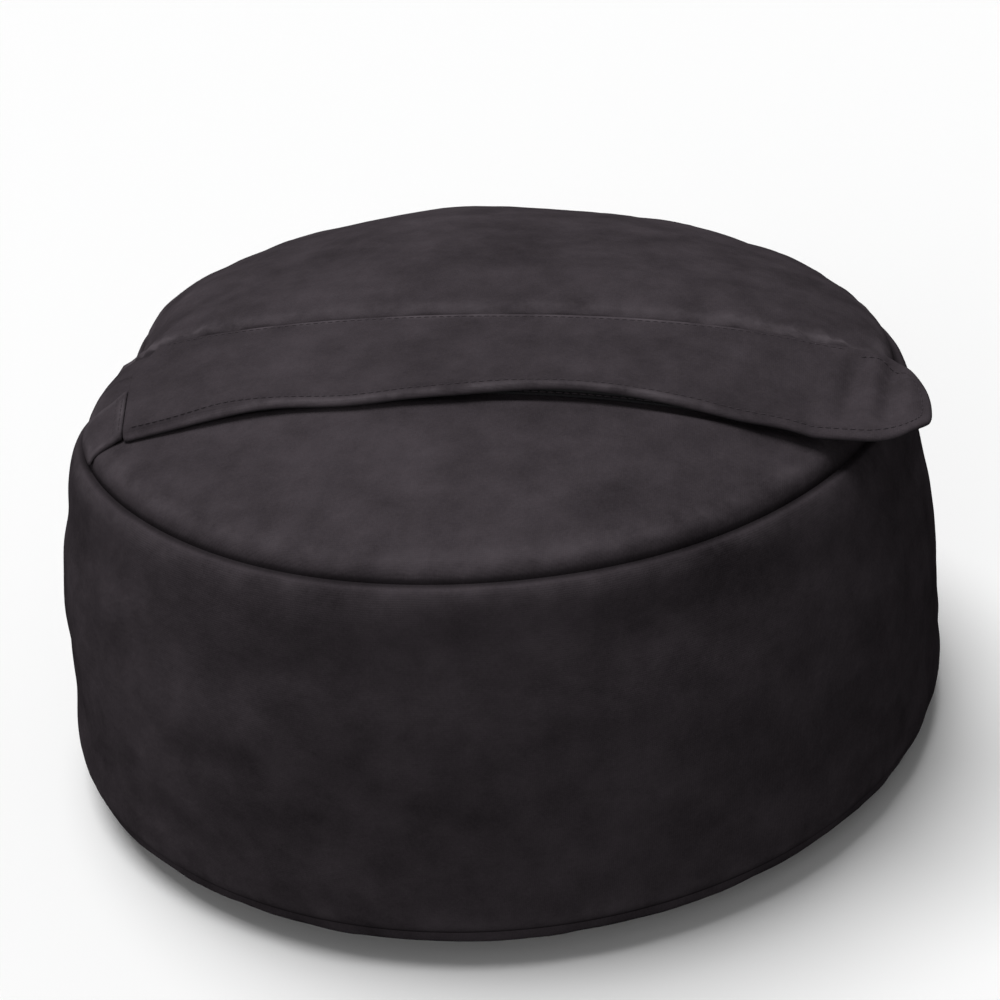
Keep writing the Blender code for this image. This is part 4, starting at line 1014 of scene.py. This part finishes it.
def make_flap_cloth(materials):
    """The closure flap, two plies sewn round their edges, and its stitching."""
    settings = bpy.context.scene.sandbag_sizes
    outline = flap_outline(0.0026)
    insets = (0.0, 0.0002, 0.0006, 0.0011, 0.0018, 0.0030, 0.0038, FLAP_HEM_ROW, 0.0052, 0.0062, 0.0076,
              0.0094)
    plan, faces, depth = cut_plan(outline, insets, 0.0034)

    def wear_and_painted_shade(x, y, depth):
        hem = hill(depth - 0.0015, 0.0018) * (0.8 - 0.75 * smooth_step(x, 0.090, 0.150))
        hem = hem * smooth_step(x, -0.125, -0.095)
        return hem * smooth_step(depth, 0.0, 0.0004)

    flap = sewn_solid("flap_cloth", flap_place(plan), faces, depth, flap_face, FLAP_THICKNESS, 0.0013,
                      materials["nylon"], hem_rise, wear_and_painted_shade, materials["lining"])
    row = flap_place(inset(outline, FLAP_HEM_ROW))

    def stitched(x, y):
        return flap_face(x, y) + hem_rise(x, y, FLAP_HEM_ROW) + 0.00005

    far_y = FLAP_SEAM_Y - FLAP_REAR_ROW
    far = resample([(-FLAP_LEFT + 0.008, far_y), (0.176, far_y)], 0.002)
    first = int(np.argmin(np.hypot(row[:, 0] + FLAP_LEFT, row[:, 1] - FLAP_NEAR_Y)))
    free = np.roll(row, -first, axis=0)
    last = int(np.argmin(np.hypot(free[:, 0] - 0.180, free[:, 1] - FLAP_SEAM_Y)))
    free = resample(free[:last], 0.0015)
    runs = [surface_path(free, stitched), surface_path(far, flap_face)]
    thread = thread_piece("flap_stitching", runs, materials["thread"], settings)
    return flap, thread


def anchor_outline():
    """Plan outline of the flap's left end, from the crease out to the round seam."""
    ys = np.linspace(FLAP_NEAR_Y - 0.003, ANCHOR_REAR - 0.006, 24)
    rim = -(chord_half(ys) + 0.0003)
    crease = [left_end(y, -ANCHOR_START) for y in (ANCHOR_REAR + 0.004, FLAP_NEAR_Y + 0.001)]
    path = [crease[0], *zip(rim[::-1], ys[::-1]), crease[1], crease[0]]
    return resample(np.array(path), 0.0028)[:-1]


def anchor_face(x, y):
    """Face of the flap's left end: it steps down from the crease and lies on the shoulder."""
    inner = left_end(y, -ANCHOR_START)[0]
    below = np.maximum(SEAM_RADIUS - np.hypot(x, y), 0.0)
    lying = dome_height(x, y) + 0.0027 + 0.0020 * (1.0 - fade(below, 0.0018)) * fade(below, 0.012)
    crease = flap_face(inner, y) - 0.0006
    return lying + np.maximum(crease - lying, 0.0) * hill(np.maximum(inner - x, 0.0), 0.0045)


def make_anchor(materials):
    """The flap's left end, sewn down over the shoulder and into the round seam."""
    settings = bpy.context.scene.sandbag_sizes
    outline = anchor_outline()
    insets = (0.0, 0.0003, 0.0009, 0.0018, 0.0030, 0.0045)
    plan, faces, depth = cut_plan(outline, insets, 0.0030)
    piece = sewn_solid("flap_anchor_cloth", plan, faces, depth, anchor_face, 0.0024, 0.0012,
                       materials["nylon"], None, lambda x, y, depth: hill(depth - 0.002, 0.002) * 0.6)
    runs = []
    for offset in ANCHOR_ROWS:
        line = [left_end(FLAP_NEAR_Y + 0.004, -offset), left_end(ANCHOR_REAR + 0.001, -offset)]
        runs.append(surface_path(resample(line, 0.0015), anchor_face))
    thread = thread_piece("anchor_stitching", runs, materials["thread"], settings)
    return piece, thread


# Tapes and zip

def rectangle(low, high, corner, spacing):
    """Counter-clockwise outline of a rectangle with cut corners."""
    (x0, y0), (x1, y1) = low, high
    path = [(x0 + corner, y0), (x1 - corner, y0), (x1, y0 + corner), (x1, y1 - corner),
            (x1 - corner, y1), (x0 + corner, y1), (x0, y1 - corner), (x0, y0 + corner),
            (x0 + corner, y0)]
    return resample(np.array(path), spacing)[:-1]


def make_tape(name, low_y, high_y, face, material, down=False):
    """A hook or loop tape with a thin woven edge and a raised pile, and the row of stitches round it."""
    outline = rectangle((-TAPE_HALF, low_y), (TAPE_HALF, high_y), 0.001, 0.004)
    plan, faces, depth = cut_plan(outline, (0.0, 0.0003, 0.0010, 0.0020, 0.0028, 0.0036), 0.0045)

    def edge(x, y, depth):
        return 0.0 * depth if down else -0.0008 * (1.0 - smooth_step(depth, 0.0022, 0.0034))

    tape = sewn_solid(name, plan, faces, depth, face, TAPE_THICKNESS, 0.0006, material, edge)
    row = resample(np.concatenate((inset(outline, 0.0013), inset(outline, 0.0013)[:1])), 0.0018)
    path, normal = surface_path(row, face, -TAPE_THICKNESS if down else -0.0007)
    return tape, (path, -normal if down else normal)


def make_zip_tape(name, side, material):
    """One of the woven tapes that carry the zip's chain, with a corded edge along the chain."""
    inner, outer = sorted((SLIT_Y + side * ZIP_INNER, SLIT_Y + side * ZIP_OUTER))
    outline = rectangle((-ZIP_TAPE_END, inner), (ZIP_TAPE_END, outer), 0.0006, 0.004)
    plan, faces, depth = cut_plan(outline, (0.0, 0.0002, 0.0005, 0.0010, 0.0016), 0.0022)

    def cord(x, y, depth):
        return 0.0004 * hill(np.abs(y - SLIT_Y) - 0.0046, 0.0005)

    return sewn_solid(name, plan, faces, depth, lambda x, y: panel_height(x, y) - ZIP_BELOW, 0.0008,
                      0.0004, material, cord)


def zip_height(x):
    """Height of the zip chain's middle, which follows one arc."""
    return ZIP_CENTRE + np.sqrt(ZIP_RADIUS ** 2 - x * x)


def set_on_arc(piece, x):
    """Carry a piece built about the origin to x on the zip's arc, turned to lie along it."""
    turn = math.asin(x / ZIP_RADIUS)
    u, v, w = coordinates(piece.data).T
    place_points(piece, np.column_stack((
        u * math.cos(turn) + (ZIP_RADIUS + w) * math.sin(turn), SLIT_Y + v,
        ZIP_CENTRE - u * math.sin(turn) + (ZIP_RADIUS + w) * math.cos(turn))))
    return piece


def rounded_ring(half, thick, count=20, power=0.32):
    """Section of a flat bar with rounded corners."""
    turns = 2 * math.pi * np.arange(count) / count
    c, s = np.cos(turns), np.sin(turns)
    return np.column_stack((half * np.sign(c) * np.abs(c) ** power,
                            thick / 2 * np.sign(s) * np.abs(s) ** power))


def bar(path, ring, swell=None, crosswise=False):
    """Points and faces of a section carried along a path that has no sideways part."""
    path = np.asarray(path, float)
    swell = np.ones(len(path)) if swell is None else swell
    ahead = unit(np.gradient(path, axis=0))
    points = [(u - dw * out * grow, v * grow, w + du * out * grow)
              for (u, w), (du, dw), grow in zip(path, ahead, swell) for v, out in ring]
    n = len(ring)
    faces = [(i * n + k, (i + 1) * n + k, (i + 1) * n + (k + 1) % n, i * n + (k + 1) % n)
             for i in range(len(path) - 1) for k in range(n)]
    faces += [tuple(range(n)), tuple(range(len(points) - 1, len(points) - 1 - n, -1))]
    points = np.array(points)
    return (points[:, [1, 0, 2]] if crosswise else points), faces


def joined(name, parts, material):
    """One object from several sets of points and faces, with every face turned outwards."""
    mesh = bmesh.new()
    for points, faces in parts:
        corners = [mesh.verts.new(tuple(map(float, p))) for p in points]
        for face in faces:
            mesh.faces.new([corners[k] for k in face])
    bmesh.ops.recalc_face_normals(mesh, faces=mesh.faces)
    made = bpy.data.meshes.new(name)
    mesh.to_mesh(made)
    mesh.free()
    made.shade_smooth()
    made.materials.append(material)
    return link(bpy.data.objects.new(name, made))


def plate(level, thick):
    """Points and faces of a slider plate: wide at its nose, narrow at its tail, with rolled edges."""
    turns = np.linspace(0.0, 2 * math.pi, 48, endpoint=False)
    c, s = np.cos(turns), np.sin(turns)
    u = 0.0075 * np.sign(c) * np.abs(c) ** 0.5
    v = (0.0047 + 0.0008 * u / 0.0075) * np.sign(s) * np.abs(s) ** 0.5
    rings = [(0.93, -0.5), (0.985, -0.32), (1.0, 0.0), (0.985, 0.32), (0.93, 0.5), (0.5, 0.5)]
    points = [(x * grow, y * grow, level + rise * thick) for grow, rise in rings for x, y in zip(u, v)]
    n = len(turns)
    faces = [(i * n + k, i * n + (k + 1) % n, (i + 1) * n + (k + 1) % n, (i + 1) * n + k)
             for i in range(len(rings) - 1) for k in range(n)]
    faces += [tuple(range(n))[::-1], tuple(range((len(rings) - 1) * n, len(rings) * n))]
    return np.array(points), faces


def make_slider(materials):
    """The zip's slider with its bridge, its webbing tab and the tab's stitches."""
    settings = bpy.context.scene.sandbag_sizes
    lip = rounded_ring(0.00035, 0.0010, 12)
    parts = [plate(0.0023, 0.0012), plate(-0.0023, 0.0012)]
    for side, level in ((-1, 0.0013), (1, 0.0013), (-1, -0.0013), (1, -0.0013)):
        points, faces = bar([(-0.0055, level), (0.0060, level)], lip)
        points[:, 1] += side * (0.0047 + 0.05 * points[:, 0])
        parts.append((points, faces))
    parts.append(bar([(0.0026, 0.0), (0.0062, 0.0)], rounded_ring(0.0004, 0.0046, 12)))
    turns = np.linspace(math.pi, 0.0, 17)
    crown = zip(0.0045 * np.sign(np.cos(turns)) * np.abs(np.cos(turns)) ** 0.6,
                0.0040 + 0.0017 * np.sin(turns) ** 0.6)
    arch = [(-0.0045, 0.0026), (-0.0045, 0.0038), *crown, (0.0045, 0.0038), (0.0045, 0.0026)]
    parts.append(bar(resample(arch, 0.0004), rounded_ring(0.0014, 0.0009, 16), crosswise=True))
    slider = set_on_arc(joined("slider_body", parts, materials["metal"]), SLIDER_X)
    outline = rectangle((-0.030, -0.0034), (0.004, 0.0034), 0.0009, 0.0016)
    plan, faces, depth = cut_plan(outline, (0.0, 0.0002, 0.0005, 0.0009), 0.0012)

    def tab_face(x, y):
        return 0.0049 + 0.0002 * np.sin(x / 0.006) - 0.00025 * hill(x + 0.009, 0.0009)

    tab = sewn_solid("slider_tab", plan, faces, depth, tab_face, 0.0012, 0.0005, materials["binding"])
    rows = [[(-0.0285, v), (-0.0095, v)] for v in (-0.0022, 0.0022)]
    rows += [[(u, -0.0022), (u, 0.0022)] for u in (-0.0285, -0.0095)]
    runs = [surface_path(resample(row, 0.001), tab_face) for row in rows]
    thread = thread_piece("slider_tab_stitching", runs, materials["thread"], settings)
    return slider, set_on_arc(tab, SLIDER_X), set_on_arc(thread, SLIDER_X)


def make_stop(name, side, material):
    """A crimped metal stop at one end of the zip's chain."""
    path = [(u, 0.0) for u in (-0.00175, -0.0015, -0.0009, -0.0003, 0.0003, 0.0009, 0.0015, 0.00175)]
    swell = np.array((0.80, 0.95, 1.0, 0.90, 0.90, 1.0, 0.95, 0.80))
    stop = joined(name, [bar(path, rounded_ring(0.0035, 0.0032, 24, 0.45), swell)], material)
    return set_on_arc(stop, side * STOP_X)


def slot_rows():
    """Rows of stitches along both edges of the fill opening and across its ends."""
    runs = []
    for side in (-1.0, 1.0):
        xs = np.arange(-0.130, 0.1301, 0.002)
        edge = np.column_stack((xs, SLIT_Y + side * (slot_width(xs) + 0.0028)))
        runs.append(surface_path(edge, panel_height))
        for x in (0.1390, 0.1405):
            ys = np.arange(SLIT_Y - 0.0065, SLIT_Y + 0.0066, 0.001)
            end = np.column_stack((np.full(len(ys), side * x), ys))
            runs.append(surface_path(end, panel_height, 0.0002))
    return runs


def make_chain(name, side, material):
    """One side of the zip's chain: a coil whose loops bend round from the tape's edge."""
    points, faces = [], []
    count = int(2 * CHAIN_HALF / CHAIN_PITCH)
    profile = [(0.0035, -0.0006), (0.0022, -0.0010), (0.0009, -0.0009), (0.0004, 0.0), (0.0009, 0.0009),
               (0.0022, 0.0010), (0.0035, 0.0006)]
    sides = 6
    for number in range(count):
        centre_x = -CHAIN_HALF + CHAIN_PITCH * (number + 0.5) + side * CHAIN_PITCH / 4
        z = float(zip_height(np.array([centre_x]))[0])
        path = np.array([(centre_x + 0.0002 * (k - 3), SLIT_Y + side * y, z + h)
                         for k, (y, h) in enumerate(profile)])
        rings = []
        for k, place in enumerate(path):
            ahead = path[min(k + 1, len(path) - 1)] - path[max(k - 1, 0)]
            ahead /= np.linalg.norm(ahead)
            across = np.array([1.0, 0.0, 0.0])
            up = np.cross(ahead, across)
            ring = []
            for s in range(sides):
                turn = 2 * math.pi * s / sides
                ring.append(len(points))
                points.append(place + CHAIN_WIRE * (math.cos(turn) * across + math.sin(turn) * up))
            rings.append(ring)
        faces += sleeve(rings)
    return plain_mesh(name, points, faces, material)


def size_setting(name, description, default, low, high):
    """A size that a user would change."""
    return FloatProperty(name=name, description=description, default=default, min=low, max=high,
                         subtype="DISTANCE", unit="LENGTH")


def colour_setting(name, description, *default):
    """A colour that a user would change."""
    return FloatVectorProperty(name=name, description=description, size=3, subtype="COLOR",
                               default=default, min=0.0, max=1.0)


class SandbagSizes(bpy.types.PropertyGroup):
    """Sizes of the sewing."""

    stitch_length: size_setting("Stitch length", "Length of one stitch with its gap", 0.0036, 0.002, 0.008)
    thread_width: size_setting("Thread width", "Thickness of the sewing thread", 0.0005, 0.0003, 0.0015)


class SandbagColours(bpy.types.PropertyGroup):
    """Colours of the finishes."""

    nylon: colour_setting("Nylon", "Cloth of the bag and the flap", 0.048, 0.0405, 0.0458)
    lining: colour_setting("Lining", "Underside of the flap", 0.036, 0.033, 0.036)
    binding: colour_setting("Binding", "Tapes inside the seams and beside the zip", 0.026, 0.024, 0.026)
    thread: colour_setting("Thread", "Sewing thread", 0.052, 0.044, 0.050)
    hook: colour_setting("Hook tape", "Stiff half of the fastening", 0.020, 0.020, 0.021)
    loop: colour_setting("Loop tape", "Soft half of the fastening", 0.026, 0.025, 0.027)
    teeth: colour_setting("Zip teeth", "Coil of the zip", 0.024, 0.024, 0.025)
    metal: colour_setting("Slider metal", "Slider and stops", 0.080, 0.080, 0.084)
    sand: colour_setting("Sand", "Fill", 0.48, 0.36, 0.23)
    floor: colour_setting("Floor", "Studio floor", 0.972, 0.972, 0.972)


class SANDBAG_OT_shell(bpy.types.Operator):
    """Build the side wall, the domed top and the base"""

    bl_idname = "sandbag.shell"
    bl_label = "Shell"

    def execute(self, context):
        materials = finishes()
        for piece, node in ((make_wall(materials), "side_wall"), (make_base(materials), "base_panel")):
            seat(piece, "shell_nylon", "shell", node)
        make_top(materials)
        return {"FINISHED"}


class SANDBAG_OT_flap(bpy.types.Operator):
    """Build the closure flap, its sewn-down left end and their stitching"""

    bl_idname = "sandbag.flap"
    bl_label = "Flap"

    def execute(self, context):
        materials = finishes()
        flap, thread = make_flap_cloth(materials)
        seat(flap, "shell_nylon", None, "closure_flap", "flap_lining")
        seat(thread, "binding_tape")
        for piece in (flap, thread):
            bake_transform(piece)
        anchor, thread = make_anchor(materials)
        seat(anchor, "shell_nylon", "shell", "flap_anchor")
        seat(thread, "binding_tape", "shell")
        return {"FINISHED"}


class SANDBAG_OT_fastening(bpy.types.Operator):
    """Build the hook and loop tapes and the zip's chain"""

    bl_idname = "sandbag.fastening"
    bl_label = "Fastening"

    def execute(self, context):
        materials = finishes()
        settings = context.scene.sandbag_sizes
        low_y, high_y = FLAP_NEAR_Y + TAPE_START, FLAP_NEAR_Y + TAPE_WIDTH
        hook, hook_row = make_tape("hook_strip", low_y, high_y,
                                   lambda x, y: flap_height(x, y) - HOOK_BELOW, materials["hook"], True)
        loop, loop_row = make_tape("loop_strip", low_y, high_y,
                                   lambda x, y: flap_height(x, y) - LOOP_BELOW, materials["loop"])
        seat(hook, "hook_tape", "flap", "hook_tape")
        seat(loop, "loop_tape", "shell", "loop_tape")
        rows = (("hook_stitching", "flap", [hook_row]), ("loop_stitching", "shell", [loop_row]),
                ("slot_stitching", "shell", slot_rows()))
        for name, body, runs in rows:
            seat(thread_piece(name, runs, materials["thread"], settings), "binding_tape", body)
        for name, side in (("front", -1.0), ("rear", 1.0)):
            chain = make_chain("zip_chain_" + name, side, materials["teeth"])
            seat(chain, "zip_teeth", "shell", "zip_teeth_" + name)
            tape = make_zip_tape("zip_cloth_" + name, side, materials["binding"])
            seat(tape, "binding_tape", "shell", "zip_tape_" + name)
        for name, side in (("left", -1.0), ("right", 1.0)):
            stop = make_stop("zip_end_" + name, side, materials["metal"])
            seat(stop, "slider_metal", "shell", "zip_stop_" + name)
        slider, tab, thread = make_slider(materials)
        seat(slider, "slider_metal", "slider", "zip_slider")
        seat(tab, "binding_tape", "slider", "zip_pull")
        seat(thread, "binding_tape", "slider")
        return {"FINISHED"}


class SANDBAG_OT_inner(bpy.types.Operator):
    """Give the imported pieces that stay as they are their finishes"""

    bl_idname = "sandbag.inner"
    bl_label = "Inner pieces"

    def execute(self, context):
        materials = finishes()
        kinds = {"side_seam_tape": "binding", "base_reinforcement": "lining",
                 "base_seam_binding": "binding", "top_seam_binding": "binding",
                 "flap_seam_tape": "binding", "fill_funnel": "lining", "funnel_hook_tape": "hook",
                 "funnel_loop_tape": "loop", "sand_fill": "sand"}
        for node, kind in kinds.items():
            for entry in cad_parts[node].material_slots:
                entry.material = materials[kind]
        return {"FINISHED"}


def floor_material(tone):
    """Pale floor: bright to the camera and in reflections, duller as a source of bounced light."""
    material, w, shader = new_material("Studio floor")
    shader.inputs["Roughness"].default_value = 0.9
    shader.inputs["Specular IOR Level"].default_value = 0.1
    pick = w.add("ShaderNodeMix", data_type="RGBA")
    w.join(w.seen(), pick.inputs["Factor"])
    pick.inputs["A"].default_value = tuple(c * FLOOR_BOUNCE for c in tone) + (1.0,)
    pick.inputs["B"].default_value = (*tone, 1.0)
    w.join(pick.outputs["Result"], shader.inputs["Base Color"])
    return material


def aim(thing, place, target):
    """Point an object's -Z at a target, level."""
    thing.location = place
    thing.rotation_euler = (target - place).to_track_quat("-Z", "Y").to_euler()


def make_stage(colours):
    """Floor, light and camera."""
    scene = bpy.context.scene
    mesh = bpy.data.meshes.new("studio_floor")
    corners = [(u * FLOOR_HALF, v * FLOOR_HALF, 0) for u, v in ((-1, -1), (1, -1), (1, 1), (-1, 1))]
    mesh.from_pydata(corners, [], [(0, 1, 2, 3)])
    mesh.materials.append(floor_material(colours.floor))
    floor = link(bpy.data.objects.new("studio_floor", mesh))
    floor.location.z = -0.0004
    world = bpy.data.worlds.new("Studio")
    scene.world = world
    world.use_nodes = True
    w = Wiring(world.node_tree)
    back = world.node_tree.nodes["Background"]
    back.inputs["Color"].default_value = (1.0, 1.0, 1.0, 1.0)
    w.join(w.math("MULTIPLY_ADD", w.seen(), 1.0 - ROOM_LIGHT, ROOM_LIGHT), back.inputs["Strength"])
    for name, place, strength, angle in LAMPS:
        lamp = bpy.data.lights.new(name, "SUN")
        lamp.energy = strength
        lamp.angle = math.radians(angle)
        thing = link(bpy.data.objects.new(name, lamp))
        aim(thing, Vector(place) * 3.0, Vector((0.0, 0.0, 0.0)))
    camera = bpy.data.cameras.new("Camera")
    camera.lens = CAMERA_LENS
    camera.sensor_width = 36.0
    eye = link(bpy.data.objects.new("Camera", camera))
    azimuth, elevation = math.radians(CAMERA_AZIMUTH), math.radians(CAMERA_ELEVATION)
    target = Vector((CAMERA_SIDEWAYS * math.cos(azimuth) + CENTRE[0],
                     CAMERA_SIDEWAYS * math.sin(azimuth) + CENTRE[1], CAMERA_HEIGHT))
    away = Vector((math.sin(azimuth) * math.cos(elevation), -math.cos(azimuth) * math.cos(elevation),
                   math.sin(elevation)))
    aim(eye, target + away * CAMERA_DISTANCE, target)
    eye.rotation_euler.rotate_axis("Z", math.radians(CAMERA_ROLL))
    scene.camera = eye
    scene.view_settings.view_transform = "Standard"


class SANDBAG_OT_stage(bpy.types.Operator):
    """Lay the floor, light the bag and set the camera"""

    bl_idname = "sandbag.stage"
    bl_label = "Stage"

    def execute(self, context):
        make_stage(context.scene.sandbag_colours)
        return {"FINISHED"}


class SANDBAG_PT_panel(bpy.types.Panel):
    """Lists the pieces and the values a user would change"""

    bl_label = "Sandbag trainer"
    bl_idname = "SANDBAG_PT_panel"
    bl_space_type = "VIEW_3D"
    bl_region_type = "UI"
    bl_category = "Sandbag"

    def draw(self, context):
        layout = self.layout
        for operator in PIECES:
            layout.operator(operator.bl_idname)
        for group in (context.scene.sandbag_sizes, context.scene.sandbag_colours):
            column = layout.column()
            for name in group.bl_rna.properties.keys():
                if name not in {"rna_type", "name"}:
                    column.prop(group, name)


PIECES = (SANDBAG_OT_shell, SANDBAG_OT_flap, SANDBAG_OT_fastening, SANDBAG_OT_inner, SANDBAG_OT_stage)
CLASSES = (SandbagSizes, SandbagColours, *PIECES, SANDBAG_PT_panel)


def register():
    """Register the classes and their settings."""
    for item in CLASSES:
        bpy.utils.register_class(item)
    bpy.types.Scene.sandbag_sizes = PointerProperty(type=SandbagSizes)
    bpy.types.Scene.sandbag_colours = PointerProperty(type=SandbagColours)


def unregister():
    """Take the settings and classes away again."""
    del bpy.types.Scene.sandbag_colours
    del bpy.types.Scene.sandbag_sizes
    for item in reversed(CLASSES):
        bpy.utils.unregister_class(item)


def main():
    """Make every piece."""
    register()
    bpy.ops.sandbag.shell()
    bpy.ops.sandbag.flap()
    bpy.ops.sandbag.fastening()
    bpy.ops.sandbag.inner()
    bpy.ops.sandbag.stage()


if __name__ == "__main__":
    main()
